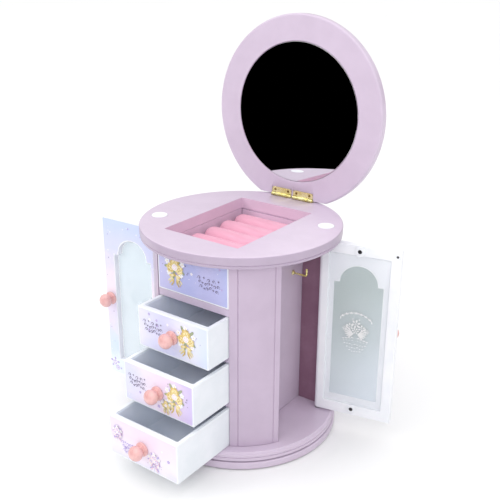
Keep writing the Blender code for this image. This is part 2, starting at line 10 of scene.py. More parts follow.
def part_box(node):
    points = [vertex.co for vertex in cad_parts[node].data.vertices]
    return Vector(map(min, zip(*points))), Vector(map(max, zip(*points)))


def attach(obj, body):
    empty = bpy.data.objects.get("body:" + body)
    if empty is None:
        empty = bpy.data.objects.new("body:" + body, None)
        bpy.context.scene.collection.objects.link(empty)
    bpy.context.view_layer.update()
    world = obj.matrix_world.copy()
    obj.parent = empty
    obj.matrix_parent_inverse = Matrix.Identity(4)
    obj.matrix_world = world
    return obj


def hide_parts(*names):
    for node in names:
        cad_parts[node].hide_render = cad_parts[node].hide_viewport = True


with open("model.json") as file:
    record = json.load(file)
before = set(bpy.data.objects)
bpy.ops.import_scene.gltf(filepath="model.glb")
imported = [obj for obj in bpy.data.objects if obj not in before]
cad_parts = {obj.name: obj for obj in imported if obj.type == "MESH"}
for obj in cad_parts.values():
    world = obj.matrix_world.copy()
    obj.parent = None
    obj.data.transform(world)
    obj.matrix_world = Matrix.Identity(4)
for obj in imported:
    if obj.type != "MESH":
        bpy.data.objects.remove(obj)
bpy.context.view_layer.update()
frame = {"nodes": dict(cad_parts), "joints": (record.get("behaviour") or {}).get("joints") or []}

MM = 0.001


def mm(values):
    """Millimetres to metres, for a number or for nested lists of them."""
    return values * MM if isinstance(values, (int, float)) else [mm(value) for value in values]


IDENTITY = Matrix.Identity(4)
NODES = frame["nodes"]
JOINTS = {joint["name"]: joint for joint in frame["joints"]}
SIDES = (("right", 1), ("left", -1))

# ---- sizes read from the frame ----
PLATE_LOW, PLATE_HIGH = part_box("top_plate")
PLATE_R, PLATE_Z0, PLATE_Z1 = PLATE_HIGH.x, PLATE_LOW.z, PLATE_HIGH.z
PLINTH_R, PLINTH_Z1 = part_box("plinth_plate")[1].x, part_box("plinth_plate")[1].z
BASE_LOW, BASE_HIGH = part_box("base_disc")
BODY_Z0, BODY_Z1 = (corner.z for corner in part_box("rear_panel"))
FRONT_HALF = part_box("drawer_box_lower")[1].x
TRAY_LOW, TRAY_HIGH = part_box("ring_tray")

# ---- sizes of the profiles ----
PLINTH_Z0 = 10.0 * MM
BODY_R, BOARD, NICHE_HALF = mm([92.0, 3.5, 43.3])
WELL_HALF_X, WELL_Y0, WELL_Y1 = mm([46.2, -67.0, 63.0])
DOOR_T, DOOR_REACH, DOOR_Z0, DOOR_Z1 = mm([8.5, 80.7, 21.5, 218.0])
DOOR_ANGLE = {"right": -90 + 102.6, "left": 90 + 93.0}      # about Z at rest, shut plus opening
LID_R, LID_T, LID_REACH, MIRROR_R = mm([104.0, 10.0, 94.2, 75.4])
LID_LEAN = 2.5
HINGE_X, HINGE_HALF, BARREL_R = mm([14.1, 12.8, 2.0])
ROUND = 168                 # facets of the large turned pieces
PAST = 2 * MM               # how far a cutting shape runs past what it cuts

LID_AXIS = Vector(JOINTS["lid_hinge"]["pos_m"])
LID_FRAME = Matrix.Translation(LID_AXIS) @ Matrix.Rotation(radians(-LID_LEAN), 4, "X")


# ---- materials ----
def linear(rgb):
    """sRGB 0-255 to scene linear."""
    out = []
    for value in rgb:
        c = value / 255
        out.append(c / 12.92 if c <= 0.04045 else ((c + 0.055) / 1.055) ** 2.4)
    return (*out, 1.0)


class Graph:
    """The nodes of a material or world; socket names are given with _ for a space."""

    def __init__(self, owner, shader):
        self.owner = owner
        owner.use_nodes = True
        self.tree = owner.node_tree
        self.shader = self.tree.nodes[shader]

    def feed(self, value, socket):
        if isinstance(value, bpy.types.NodeSocket):
            self.tree.links.new(value, socket)
        else:
            socket.default_value = value

    def fill(self, node, sockets):
        for socket, value in sockets.items():
            self.feed(value, node.inputs[socket.replace("_", " ")])
        return node

    def node(self, kind, **sockets):
        return self.fill(self.tree.nodes.new("ShaderNode" + kind), sockets)

    def set(self, **sockets):
        self.fill(self.shader, sockets)
        return self.owner


class Look(Graph):
    """A Principled material."""

    def __init__(self, name, **sockets):
        super().__init__(bpy.data.materials.new(name), "Principled BSDF")
        self.coord = self.node("TexCoord").outputs["Object"]
        self.set(**sockets)

    def noise(self, scale, detail=3.0, rough=0.5, stretch=(1, 1, 1), shift=(0, 0, 0), distort=0.0):
        place = self.node("Mapping", Scale=stretch, Location=shift, Vector=self.coord)
        return self.node("TexNoise", Scale=scale, Detail=detail, Roughness=rough, Distortion=distort,
                         Vector=place.outputs["Vector"]).outputs["Fac"]

    def ramp(self, fac, stops, smooth=True):
        """Colours (sRGB 0-255) at places along fac."""
        node = self.node("ValToRGB", Fac=fac)
        elements = node.color_ramp.elements
        node.color_ramp.interpolation = "EASE" if smooth else "LINEAR"
        while len(elements) < len(stops):
            elements.new(0.5)
        for element, (place, colour) in zip(elements, stops):
            element.position = place
            element.color = linear(colour)
        return node.outputs["Color"]

    def mix(self, fac, a, b):
        node = self.node("Mix")
        node.data_type = "RGBA"
        for value, index in ((fac, 0), (a, 6), (b, 7)):
            self.feed(value, node.inputs[index])
        return node.outputs[2]

    def grey(self, fac, low, high, start=0.3, end=0.7):
        """A grey level that runs from low to high as fac runs from start to end."""
        return self.node("MapRange", From_Min=start, From_Max=end, To_Min=low, To_Max=high,
                         Value=fac).outputs["Result"]

    def scaled_sum(self, value, factor, other):
        """value * factor + other"""
        node = self.node("Math")
        node.operation = "MULTIPLY_ADD"
        for source, socket in zip((value, factor, other), node.inputs):
            self.feed(source, socket)
        return node.outputs[0]

    def axes(self):
        return self.node("SeparateXYZ", Vector=self.coord).outputs

    def bump(self, height, strength, distance):
        return self.node("Bump", Strength=strength, Distance=distance, Height=height).outputs["Normal"]


def painted(name, dark, light, roughness=0.34, coat=0.25, peel=0.12):
    """Sprayed paint on smooth board: faint cloudiness, orange peel, a thin clear coat."""
    look = Look(name, Coat_Weight=coat, Coat_Roughness=0.18)
    return look.set(Base_Color=look.ramp(look.noise(34, 4, 0.55), [(0.3, dark), (0.7, light)]),
                    Roughness=look.grey(look.noise(210, 4, 0.6), roughness - 0.05, roughness + 0.07),
                    Normal=look.bump(look.noise(1500, 2, 0.5), peel, 0.00012))


def watercolour(name, shift, tones, axis, bands):
    """Printed film: soft blots of wash, over broad bands of colour along one axis in metres."""
    look = Look(name, Coat_Weight=0.35, Coat_Roughness=0.2)
    base = look.noise(17, 5, 0.55, (1, 1, 1.5), shift, 0.6)
    blot = look.noise(26, 4, 0.5, (1, 1, 1.2), (shift[0] + 3.1, shift[1], shift[2] + 1.7), 0.9)
    paper = look.noise(900, 2, 0.6)
    colour = look.mix(0.45, look.ramp(base, list(zip((0.30, 0.44, 0.56, 0.68), tones))),
                      look.ramp(blot, [(0.40, tones[1]), (0.60, tones[4])]))
    first, span = bands[0][0], bands[-1][0] - bands[0][0]
    along = look.grey(look.scaled_sum(base, 0.5 * span, look.axes()[axis]), 0.0, 1.0,
                      first + 0.25 * span, first + 1.25 * span)
    sweep = look.ramp(along, [((place - first) / span, tone) for place, tone in bands])
    return look.set(Base_Color=look.mix(0.62, colour, sweep), Roughness=look.grey(paper, 0.30, 0.42),
                    Normal=look.bump(paper, 0.05, 0.0001))


def felt(name, dark, light):
    look = Look(name, Sheen_Weight=1.0, Sheen_Roughness=0.6, Roughness=0.95)
    fibre = look.noise(1900, 3, 0.75)
    patch = look.noise(60, 3, 0.6)
    colour = look.mix(look.grey(patch, 0.0, 0.55), linear(dark), linear(light))
    return look.set(Base_Color=look.mix(look.grey(fibre, 0.0, 0.35), colour, linear(light)),
                    Normal=look.bump(fibre, 0.5, 0.0004))


def velvet(name, deep, light):
    """Short pile: fine fibre bump, brushed patches and a soft sheen at grazing angles."""
    look = Look(name, Sheen_Weight=0.7, Sheen_Roughness=0.35, Roughness=0.85,
                Sheen_Tint=linear((255, 205, 220)))
    nap = look.noise(75, 4, 0.6, (0.25, 1, 1), distort=0.3)
    pile = look.noise(2300, 2, 0.7)
    colour = look.ramp(nap, [(0.32, deep), (0.66, light)])
    return look.set(Base_Color=look.mix(look.grey(pile, 0.0, 0.22), colour, linear(light)),
                    Normal=look.bump(pile, 0.45, 0.0003))


def lacquered_wood(name, dark, light):
    """Turned wood under pink lacquer: faint long grain beneath a glossy coat."""
    look = Look(name, Coat_Weight=0.5, Coat_Roughness=0.08)
    grain = look.noise(150, 5, 0.6, (1, 0.18, 1), distort=0.5)
    return look.set(Base_Color=look.ramp(grain, [(0.35, dark), (0.62, light)]),
                    Roughness=look.grey(grain, 0.25, 0.36), Normal=look.bump(grain, 0.05, 0.0002))


def metal(name, dark, light, roughness, brushed=(1, 1, 1), scratches=0.05, metallic=1.0):
    look = Look(name, Metallic=metallic)
    lines = look.noise(900, 3, 0.6, brushed)
    return look.set(Base_Color=look.ramp(look.noise(120, 4, 0.6), [(0.3, dark), (0.7, light)]),
                    Roughness=look.grey(lines, roughness * 0.75, roughness * 1.4),
                    Normal=look.bump(lines, scratches, 0.0001))


def glazed(name, colour, alpha):
    """Clear sheet; faint smears in its gloss."""
    look = Look(name, Alpha=alpha, IOR=1.49, Specular_IOR_Level=0.5)
    smear = look.noise(45, 4, 0.6, (1, 1, 0.4), distort=0.8)
    paler = linear([min(255, c + 18) for c in colour])
    return look.set(Base_Color=look.mix(look.grey(smear, 0.0, 0.3), linear(colour), paler),
                    Roughness=look.grey(smear, 0.02, 0.07))


def tinted(name, top, bottom, alpha_top, alpha_bottom):
    """Smoky film in the window: it pales and thins towards its lower free corner."""
    look = Look(name, Roughness=0.35, Specular_IOR_Level=0.3)
    x, _, z = look.axes()
    uneven = look.scaled_sum(look.noise(22, 3, 0.5), 0.05, look.scaled_sum(x, -0.9, z))
    fade = look.grey(uneven, 0.0, 1.0, 0.03, 0.165)
    return look.set(Base_Color=look.mix(fade, linear(bottom), linear(top)),
                    Alpha=look.grey(fade, alpha_bottom, alpha_top, 0.0, 1.0))


def mirror_glass(name):
    look = Look(name, Metallic=1.0)
    haze = look.noise(30, 3, 0.5)
    return look.set(Base_Color=look.ramp(haze, [(0.3, (246, 247, 248)), (0.7, (250, 251, 252))], False),
                    Roughness=look.grey(haze, 0.0, 0.012))


def motif_paint(name, dark, light):
    return painted("motif_" + name, dark, light, 0.4, 0.2, 0.05)


LAVENDER = painted("lavender_paint", (205, 189, 208), (210, 194, 213))
# Painted shade: a darker copy of the lavender for the corner boards, whose faces stand upright while light
# falls mostly from above.
LAVENDER_SIDE_SHADED = painted("lavender_paint_side", (190, 172, 193), (196, 178, 199), 0.38)
# Painted shade: a darker copy still for the top plate's upright outer rim.
LAVENDER_RIM_SHADED = painted("lavender_paint_rim", (178, 162, 182), (185, 168, 189), 0.38)
# Painted light: a lighter, pinker lavender for the well walls and the ring tray, standing in for light the
# well's shade keeps out and pink light bounced off the rolls.
LAVENDER_WELL_LIT = painted("lavender_paint_inside", (218, 194, 214), (224, 200, 220), 0.42, 0.1)
# Painted shade: dark mauve for the return walls beside the door hinges and for the hinge mortises in the
# plate, where shade falls.
NICHE_PAINTED_SHADE = painted("niche_paint", (132, 96, 116), (146, 110, 130), 0.55, 0.03)
WHITE = painted("white_paint", (238, 240, 245), (245, 246, 250), 0.36, 0.2, 0.08)
WHITE_COOL = painted("white_board", (230, 235, 240), (238, 241, 246), 0.45, 0.05, 0.15)
# Painted light: the grey felt's colour raised to near white, standing in for light the deep, narrow drawers
# keep out.
FELT_PAINTED_LIGHT = felt("grey_felt", (228, 237, 254), (240, 246, 255))
FELT_BASE = felt("base_felt", (70, 66, 76), (104, 98, 110))
PINK_VELVET = velvet("pink_velvet", (220, 158, 180), (230, 176, 197))
PINK_WOOD = lacquered_wood("pink_lacquer", (220, 164, 163), (232, 184, 181))
BRASS = metal("polished_brass", (236, 222, 132), (255, 248, 188), 0.24, metallic=0.8)
BRASS_SCREW = metal("brass_screw", (120, 92, 44), (160, 130, 70), 0.3)
BRASS_DULL = metal("movement_brass", (178, 142, 70), (205, 170, 96), 0.34, (1, 12, 1), 0.12)
STEEL = metal("plain_steel", (150, 150, 154), (196, 196, 200), 0.3, (1, 1, 8))
SCREW_DARK = metal("screw_black", (52, 50, 54), (84, 82, 86), 0.35)
MIRROR = mirror_glass("mirror_silver")
PANE = {"right": glazed("clear_pane_right", (236, 242, 248), 0.14),
        "left": glazed("clear_pane_left", (236, 244, 250), 0.2)}
TINT = {"right": tinted("window_tint_right", (178, 193, 190), (226, 235, 243), 0.86, 0.64),
        "left": tinted("window_tint_left", (222, 236, 244), (226, 238, 246), 0.45, 0.35)}
FROST = {"right": glazed("frosted_ornament_right", (237, 237, 237), 0.95),
         "left": glazed("frosted_ornament_left", (240, 247, 250), 0.3)}
ALONG_X, ALONG_Z = 0, 2
PRINT = {name: watercolour("wash_" + name, *rest) for name, *rest in (
    ("door", (0.3, 0.2, 0.1),
     ((206, 216, 248), (222, 226, 250), (236, 228, 247), (248, 236, 244), (216, 232, 252)), ALONG_Z,
     ((0.02, (240, 246, 253)), (0.050, (206, 224, 250)), (0.095, (232, 218, 242)),
      (0.145, (248, 228, 238)), (0.185, (210, 212, 246)), (0.215, (190, 206, 249)))),
    ("panel", (1.7, 0.4, 0.9),
     ((176, 178, 226), (192, 194, 234), (206, 202, 238), (222, 212, 240), (184, 192, 234)), ALONG_X,
     ((-0.045, (206, 200, 236)), (-0.01, (176, 180, 228)), (0.02, (196, 192, 232)),
      (0.045, (182, 190, 234)))),
    ("upper", (2.9, 0.1, 0.4),
     ((200, 208, 242), (226, 228, 248), (240, 234, 248), (248, 242, 250), (212, 224, 248)), ALONG_X,
     ((-0.045, (232, 226, 246)), (-0.015, (208, 204, 240)), (0.015, (240, 236, 248)),
      (0.045, (206, 220, 248)))),
    ("middle", (4.2, 1.1, 0.3),
     ((212, 212, 242), (230, 222, 244), (246, 232, 242), (250, 242, 248), (222, 206, 240)), ALONG_X,
     ((-0.045, (210, 216, 240)), (-0.015, (240, 228, 242)), (0.018, (236, 214, 238)),
      (0.045, (190, 170, 228)))),
    ("lower", (5.6, 0.8, 1.9),
     ((218, 218, 244), (238, 228, 242), (246, 230, 240), (252, 246, 250), (230, 216, 240)), ALONG_Z,
     ((0.0, (206, 214, 246)), (0.012, (240, 232, 246)), (0.028, (238, 220, 238)),
      (0.044, (228, 216, 240)))),
)}
# The motifs' paints, and their places in every decal's material list.
MOTIF_MATS = [motif_paint("gold_%d" % k, colour, [v + 8 for v in colour])
              for k, colour in enumerate(((206, 178, 104), (226, 204, 138), (238, 224, 178)))]
MOTIF_MATS += [motif_paint(*row) for row in (("white", (240, 238, 244), (247, 246, 250)),
                                             ("lilac", (176, 160, 214), (192, 178, 226)),
                                             ("mauve", (104, 92, 124), (124, 112, 142)),
                                             ("pink", (238, 204, 214), (246, 218, 226)),
                                             ("sage", (150, 160, 126), (170, 178, 146)))]
GOLD_0, GOLD_1, GOLD_2, MILK, LILAC, MAUVE, ROSE, SAGE = range(8)


# ---- mesh helpers ----
class Mesh:
    """A bmesh under construction; index is the material given to new faces."""

    def __init__(self):
        self.bm = bmesh.new()
        self.index = 0

    def ring(self, points):
        return [self.bm.verts.new(point) for point in points]

    def face(self, verts):
        self.bm.faces.new(verts).material_index = self.index

    def strip(self, a, b):
        for i in range(len(a)):
            j = (i + 1) % len(a)
            self.face((a[i], a[j], b[j], b[i]))

    def box(self, low, high):
        corners = self.ring((x, y, z) for z in (low[2], high[2]) for y in (low[1], high[1])
                            for x in (low[0], high[0]))
        for face in ((0, 1, 3, 2), (4, 6, 7, 5), (0, 4, 5, 1), (2, 3, 7, 6), (0, 2, 6, 4), (1, 5, 7, 3)):
            self.face([corners[i] for i in face])
        return self

    def open_box(self, low, high, walls, floor):
        """A box without a lid; walls are its thicknesses at low x, high x, low y and high y."""
        outer = rect(low[0], low[1], high[0], high[1])
        inner = rect(low[0] + walls[0], low[1] + walls[2], high[0] - walls[1], high[1] - walls[3])
        rings = [self.ring((x, y, z) for x, y in outline) for outline, z in
                 ((outer, low[2]), (outer, high[2]), (inner, high[2]), (inner, low[2] + floor))]
        for a, b in zip(rings, rings[1:]):
            self.strip(a, b)
        self.face(rings[0])
        self.face(rings[-1])
        return self

    def slab(self, lower, upper):
        """Two matching outlines, walled and closed."""
        lower, upper = self.ring(lower), self.ring(upper)
        self.strip(lower, upper)
        self.face(lower)
        self.face(upper[::-1])

    def prism(self, outline, low, high, axis="Z"):
        def place(a, b, level):
            return {"Z": (a, b, level), "X": (level, a, b), "Y": (a, level, b)}[axis]
        self.slab([place(a, b, low) for a, b in outline], [place(a, b, high) for a, b in outline])
        return self

    def turned(self, profile, facets=ROUND, centre=(0, 0, 0), axis="Z"):
        """A (radius, height) profile turned about an axis through centre."""
        def place(radius, angle, height):
            a, b = radius * cos(angle), radius * sin(angle)
            point = {"Z": (a, b, height), "X": (height, a, b), "Y": (b, height, a)}[axis]
            return Vector(point) + Vector(centre)
        step = 2 * pi / facets
        rings = []
        for radius, height in profile:
            if radius < 1e-7:
                rings.append(self.ring([place(0, 0, height)]) * facets)
            else:
                rings.append(self.ring(place(radius, step * k, height) for k in range(facets)))
        for i, a in enumerate(rings):
            b = rings[(i + 1) % len(rings)]
            if a[0] is a[1] and b[0] is b[1]:
                continue
            for k in range(facets):
                corners = [a[k]]
                for vert in (a[(k + 1) % facets], b[(k + 1) % facets], b[k]):
                    if vert not in corners:
                        corners.append(vert)
                self.face(corners)
        return self

    def rod(self, radius, low, high, facets=32, centre=(0, 0, 0), axis="Z"):
        return self.turned([(0, low), (radius, low), (radius, high), (0, high)], facets, centre, axis)


def fillet(corners, radii, steps=4):
    """Round the corners of a closed outline; radii is one number or one per corner."""
    count = len(corners)
    if not isinstance(radii, (list, tuple)):
        radii = [radii] * count
    out = []
    for i, (corner, radius) in enumerate(zip(corners, radii)):
        here = Vector(corner)
        before, after = Vector(corners[i - 1]) - here, Vector(corners[(i + 1) % count]) - here
        if radius <= 0:
            out.append(tuple(here))
            continue
        a, b = before.normalized(), after.normalized()
        half = acos(max(-1.0, min(1.0, a.dot(b)))) / 2
        reach = min(radius / tan(half), before.length * 0.49, after.length * 0.49)
        centre = here + (a + b).normalized() * (reach * tan(half) / sin(half))
        start, end = here + a * reach - centre, here + b * reach - centre
        sweep = atan2(start.x * end.y - start.y * end.x, start.dot(end))
        for k in range(steps + 1):
            c, s = cos(sweep * k / steps), sin(sweep * k / steps)
            out.append((centre.x + start.x * c - start.y * s, centre.y + start.x * s + start.y * c))
    return out


def rect(a0, b0, a1, b1):
    return [(a0, b0), (a1, b0), (a1, b1), (a0, b1)]


def polar(radius, angle, centre=(0.0, 0.0)):
    return centre[0] + radius * cos(angle), centre[1] + radius * sin(angle)


def arc(radius, start, end, steps, centre=(0.0, 0.0)):
    """steps + 1 points from one angle to another, in degrees."""
    return [polar(radius, radians(start + (end - start) * k / steps), centre) for k in range(steps + 1)]


def to_object(name, shape, mats, matrix=IDENTITY, sharp=35):
    bm = shape.bm
    bmesh.ops.remove_doubles(bm, verts=bm.verts, dist=1e-7)
    bmesh.ops.recalc_face_normals(bm, faces=bm.faces)
    mesh = bpy.data.meshes.new(name)
    bm.to_mesh(mesh)
    bm.free()
    for mat in mats:
        mesh.materials.append(mat)
    mesh.shade_smooth()
    mesh.set_sharp_from_angle(angle=radians(sharp))
    obj = bpy.data.objects.new(name, mesh)
    bpy.context.scene.collection.objects.link(obj)
    obj.matrix_world = matrix
    return obj


def settle(obj):
    """Replace the object's mesh by its evaluated mesh and drop the modifiers."""
    bpy.context.view_layer.update()
    made = bpy.data.meshes.new_from_object(obj.evaluated_get(bpy.context.evaluated_depsgraph_get()))
    obj.modifiers.clear()
    old, obj.data = obj.data, made
    bpy.data.meshes.remove(old)


def carve(obj, shape):
    """Cut a shape, given in the object's own frame, out of the object."""
    tool = to_object(obj.name + "_tool", shape, [], obj.matrix_world)
    step = obj.modifiers.new("carve", "BOOLEAN")
    step.operation, step.solver, step.object = "DIFFERENCE", "EXACT", tool
    settle(obj)
    data = tool.data
    bpy.data.objects.remove(tool)
    bpy.data.meshes.remove(data)
    obj.data.set_sharp_from_angle(angle=radians(35))


def soften(obj, width_mm, segments=2, angle=35):
    step = obj.modifiers.new("edges", "BEVEL")
    step.width = width_mm * MM
    step.segments = segments
    step.limit_method = "ANGLE"
    step.angle_limit = radians(angle)
    step.harden_normals = True
    step.miter_outer = "MITER_ARC"


def mount(obj, body, slot, *nodes):
    if obj.type == "MESH" and slot != "pink_velvet":
        even = obj.modifiers.new("normals", "WEIGHTED_NORMAL")
        even.keep_sharp = True
        even.weight = 80
    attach(obj, body)
    if nodes:
        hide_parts(*nodes)
    return obj


def piece(name, shape, mat, body, slot, *nodes, at=IDENTITY, sharp=35, cuts=(), bevel=None):
    """One finished piece: shape, cuts in order, eased edges (mm, segments, angle), body, slot, nodes."""
    obj = to_object(name, shape, mat if isinstance(mat, list) else [mat], at, sharp)
    for cut in cuts:
        carve(obj, cut)
    if bevel:
        soften(obj, *bevel)
    return mount(obj, body, slot, *nodes)


def turned_piece(name, corners, radii, mat, body, slot, *nodes, steps=4, facets=ROUND,
                 centre=(0, 0, 0), axis="Z", **rest):
    """A profile, its corners rounded by radii in mm, turned and finished."""
    shape = Mesh().turned(fillet(corners, mm(radii), steps), facets, centre, axis)
    return piece(name, shape, mat, body, slot, *nodes, **rest)


def board(name, node, mat, slot, width=0.35, cuts=(), segments=3):
    """A flat board in a CAD node's own box, its edges eased."""
    return piece(name, Mesh().box(*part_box(node)), mat, "cabinet", slot, node, cuts=cuts,
                 bevel=(width, segments))


# ---- base, plinth and top plate ----
def build_base():
    z0, z1, rim = BASE_LOW.z, BASE_HIGH.z, BASE_HIGH.x
    pocket, floor = 52.0 * MM, z1 - 2.5 * MM
    turned_piece("base_disc_turned",
                 [(0, z0), (rim, z0), (rim, z1), (pocket, z1), (pocket, floor), (0, floor)],
                 [0, 1.0, 0.9, 0.3, 0.2, 0], LAVENDER, "base", "lavender_paint", "base_disc")
    low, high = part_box("base_felt_pad")
    turned_piece("base_felt_pad_cut", rect(0, low.z, high.x, high.z), [0, 0.3, 0.3, 0], FELT_BASE,
                 "base", "grey_felt", "base_felt_pad", facets=120)

    moulding = mm([(-0.1, 0), (0, 3.5), (-1.1, 3.8), (-1.1, 4.3), (0, 4.5), (0, 7.5), (-1.2, 7.7),
                   (-1.2, 8.1), (-1.9, 8.3)])
    corners = [(PLINTH_R + out, PLINTH_Z0 + up) for out, up in moulding]
    bolt_r, bore_r, race_in, race_out, step_z, groove_z = mm([8, 4.6, 36, 50, 16, 8.7])
    corners += [(PLINTH_R - 2.6 * MM, PLINTH_Z1), (bolt_r, PLINTH_Z1), (bolt_r, step_z), (bore_r, step_z),
                (bore_r, PLINTH_Z0), (race_in, PLINTH_Z0), (race_in, groove_z), (race_out, groove_z),
                (race_out, PLINTH_Z0)]
    radii = [0.8, 0.4, 0.2, 0.2, 1.4, 1.4, 0.2, 0.2, 0.5, 0.8] + [0] * 8
    turned_piece("plinth_turned", corners, radii, LAVENDER, "cabinet", "lavender_paint", "plinth_plate")


def paint_plate(plate):
    """Paint by the place of each face: painted shade on the rim and in the hinge mortises, painted light on
    the well walls.
    """
    for mat in (LAVENDER_RIM_SHADED, LAVENDER_WELL_LIT, NICHE_PAINTED_SHADE):
        plate.data.materials.append(mat)
    rim, well, mortise = 1, 2, 3
    near_hinge_x, margin = HINGE_X + HINGE_HALF + 1 * MM, 1 * MM
    for face in plate.data.polygons:
        x, y, z = face.center
        # Upright faces: painted light on the well walls, painted shade on the outer rim.
        if abs(face.normal.z) < 0.75:
            in_well = abs(x) < WELL_HALF_X + margin and WELL_Y0 - margin < y < WELL_Y1 + margin
            face.material_index = well if in_well else rim
        # Hinge mortises: painted shade under the hinge barrels.
        if (y > LID_AXIS.y - 3.2 * MM and z < PLATE_Z1 - 0.3 * MM and abs(x) < near_hinge_x
                and face.center.length < PLATE_R - 1.0 * MM):
            face.material_index = mortise


def build_top_plate():
    z0, z1, rim, over = PLATE_Z0, PLATE_Z1, PLATE_R, PLATE_Z1 + PAST
    corners = [(0, z0)]
    corners += [(rim + out, z0 + up) for out, up in
                mm([(-0.5, 0), (-0.4, 2.7), (-1.2, 2.95), (-1.2, 3.45), (0, 3.75)])]
    corners += [(rim, z1), (0, z1)]
    radii = mm([0, 1.3, 0.8, 0.2, 0.2, 0.6, 1.5, 0])
    plate = to_object("top_plate_moulded", Mesh().turned(fillet(corners, radii, 6)), [LAVENDER])
    well = fillet(rect(-WELL_HALF_X, WELL_Y0, WELL_HALF_X, WELL_Y1), 0.8 * MM, 3)
    carve(plate, Mesh().prism(well, z0 - PAST, over))
    soften(plate, 0.45, 3, 50)
    settle(plate)
    bore, cap_r, cap_z = 1.8 * MM, 8.8 * MM, z1 - 0.9 * MM
    pockets = Mesh()
    for side, s in SIDES:
        x, y, _ = JOINTS["door_%s_hinge" % side]["pos_m"]
        pockets.turned([(0, z0 - PAST), (bore, z0 - PAST), (bore, cap_z), (cap_r, cap_z),
                        (cap_r, over), (0, over)], 64, (x, y, 0))
        pockets.box((s * HINGE_X - HINGE_HALF - 0.5 * MM, LID_AXIS.y - 3.0 * MM, z1 - 1.4 * MM),
                    (s * HINGE_X + HINGE_HALF + 0.5 * MM, LID_AXIS.y + 4.8 * MM, over))
    carve(plate, pockets)
    paint_plate(plate)
    mount(plate, "cabinet", "lavender_paint", "top_plate")
    for side, _ in SIDES:
        node = "top_pivot_pin_" + side
        low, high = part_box(node)
        reach, shank, under = (high.x - low.x) / 2, 1.5 * MM, high.z - 0.95 * MM
        turned_piece("pivot_cap_" + side,
                     [(0, low.z), (shank, low.z), (shank, under), (reach, under), (reach, high.z),
                      (0, high.z)], [0, 0.3, 0, 0, 0.45, 0], WHITE, "cabinet", "white_paint", node,
                     facets=72, centre=((low.x + high.x) / 2, (low.y + high.y) / 2, 0))


# ---- carcass ----
def corner_outline(sign_x, sign_y):
    """A curved corner board from above, with a groove near each end of its outer face."""
    front_x, half = FRONT_HALF + 0.7 * MM, degrees(0.65 * MM / BODY_R)
    start = degrees(acos(front_x / BODY_R))
    end = degrees(asin((NICHE_HALF + 0.6 * MM) / BODY_R))
    grooves = (start - degrees(8.6 * MM / BODY_R), end + degrees(6.0 * MM / BODY_R))
    stations = [(start, 0.0), (end, 0.0)]                   # angle in degrees, groove depth
    stations += [(centre + half * k / 4, 0.8 * MM * cos(pi / 2 * k / 4) ** 1.5)
                 for centre in grooves for k in range(-4, 5)]
    stations += [(grooves[0] - half + (grooves[1] + 2 * half - grooves[0]) * k / 16, 0.0)
                 for k in range(1, 16)]
    for k in range(1, 5):
        stations.append((start + (grooves[0] + half - start) * k / 5, 0.0))
        stations.append((end + (grooves[1] - half - end) * k / 5, 0.0))
    stations.sort(reverse=True)
    points = [polar(BODY_R - depth, radians(a)) for a, depth in stations]
    wall_x = FRONT_HALF + 0.9 * MM + BOARD
    inner_r, back_y = BODY_R - BOARD, NICHE_HALF + BOARD
    points += [(points[-1][0] - 0.6 * MM, NICHE_HALF), (wall_x, NICHE_HALF), (wall_x, back_y)]
    points += arc(inner_r, degrees(asin(back_y / inner_r)),
                  degrees(acos(front_x / inner_r)), 12)
    return [(sign_x * x, sign_y * y) for x, y in points]


def build_carcass():
    for depth, sy in (("front_", -1), ("rear_", 1)):
        for side, sx in SIDES:
            obj = to_object("corner_board_" + depth + side,
                            Mesh().prism(corner_outline(sx, sy), BODY_Z0, BODY_Z1),
                            [LAVENDER_SIDE_SHADED, NICHE_PAINTED_SHADE], sharp=50)
            # The return walls beside the door hinges take painted shade; the rest of each board takes the
            # shaded side paint.
            for face in obj.data.polygons:
                if abs(face.normal.y) > 0.9 and abs(abs(face.center.y) - NICHE_HALF) < 0.2 * MM:
                    face.material_index = 1
            soften(obj, 0.35, 3, 55)
            mount(obj, "cabinet", "lavender_paint", "corner_panel_" + depth + side)
    for side, _ in SIDES:
        board("niche_back_" + side, "carcass_side_" + side, LAVENDER, "lavender_paint")
    for name in ("lower", "middle", "upper"):
        board("rail_shelf_" + name, "shelf_" + name, LAVENDER, "lavender_paint")
    board("front_panel_board", "fixed_front_panel", WHITE, "printed_front", 0.5)

    low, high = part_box("rear_panel")
    key = JOINTS["key_turn"]["pos_m"]
    key_hole = Mesh().rod(3.2 * MM, low.y - 5 * MM, high.y + 5 * MM, 48, (key[0], 0, key[2]), "Y")
    board("rear_board", "rear_panel", LAVENDER, "lavender_paint", cuts=[key_hole], segments=2)

    wall_x, wall_y = TRAY_HIGH.x - WELL_HALF_X, WELL_Y0 - TRAY_LOW.y
    rebate = Mesh().box((-WELL_HALF_X - 1.0 * MM, WELL_Y1 - 1 * MM, TRAY_HIGH.z - 1.3 * MM),
                        (WELL_HALF_X + 1.0 * MM, WELL_Y1 + 1.6 * MM, TRAY_HIGH.z + 1 * MM))
    reveal = Mesh().box((-WELL_HALF_X - 1.0 * MM, WELL_Y1 - 1.1 * MM, TRAY_LOW.z + 4 * MM),
                        (-WELL_HALF_X + 1 * MM, WELL_Y1 + 1.0 * MM, TRAY_HIGH.z - 1.25 * MM))
    # The tray takes the lighter, pinker well paint: painted light.
    piece("ring_tray_box", Mesh().open_box(TRAY_LOW, TRAY_HIGH, (wall_x, wall_x, wall_y, wall_y), 3 * MM),
          LAVENDER_WELL_LIT, "cabinet", "lavender_paint", "ring_tray", cuts=[rebate, reveal], bevel=(0.2, 2))


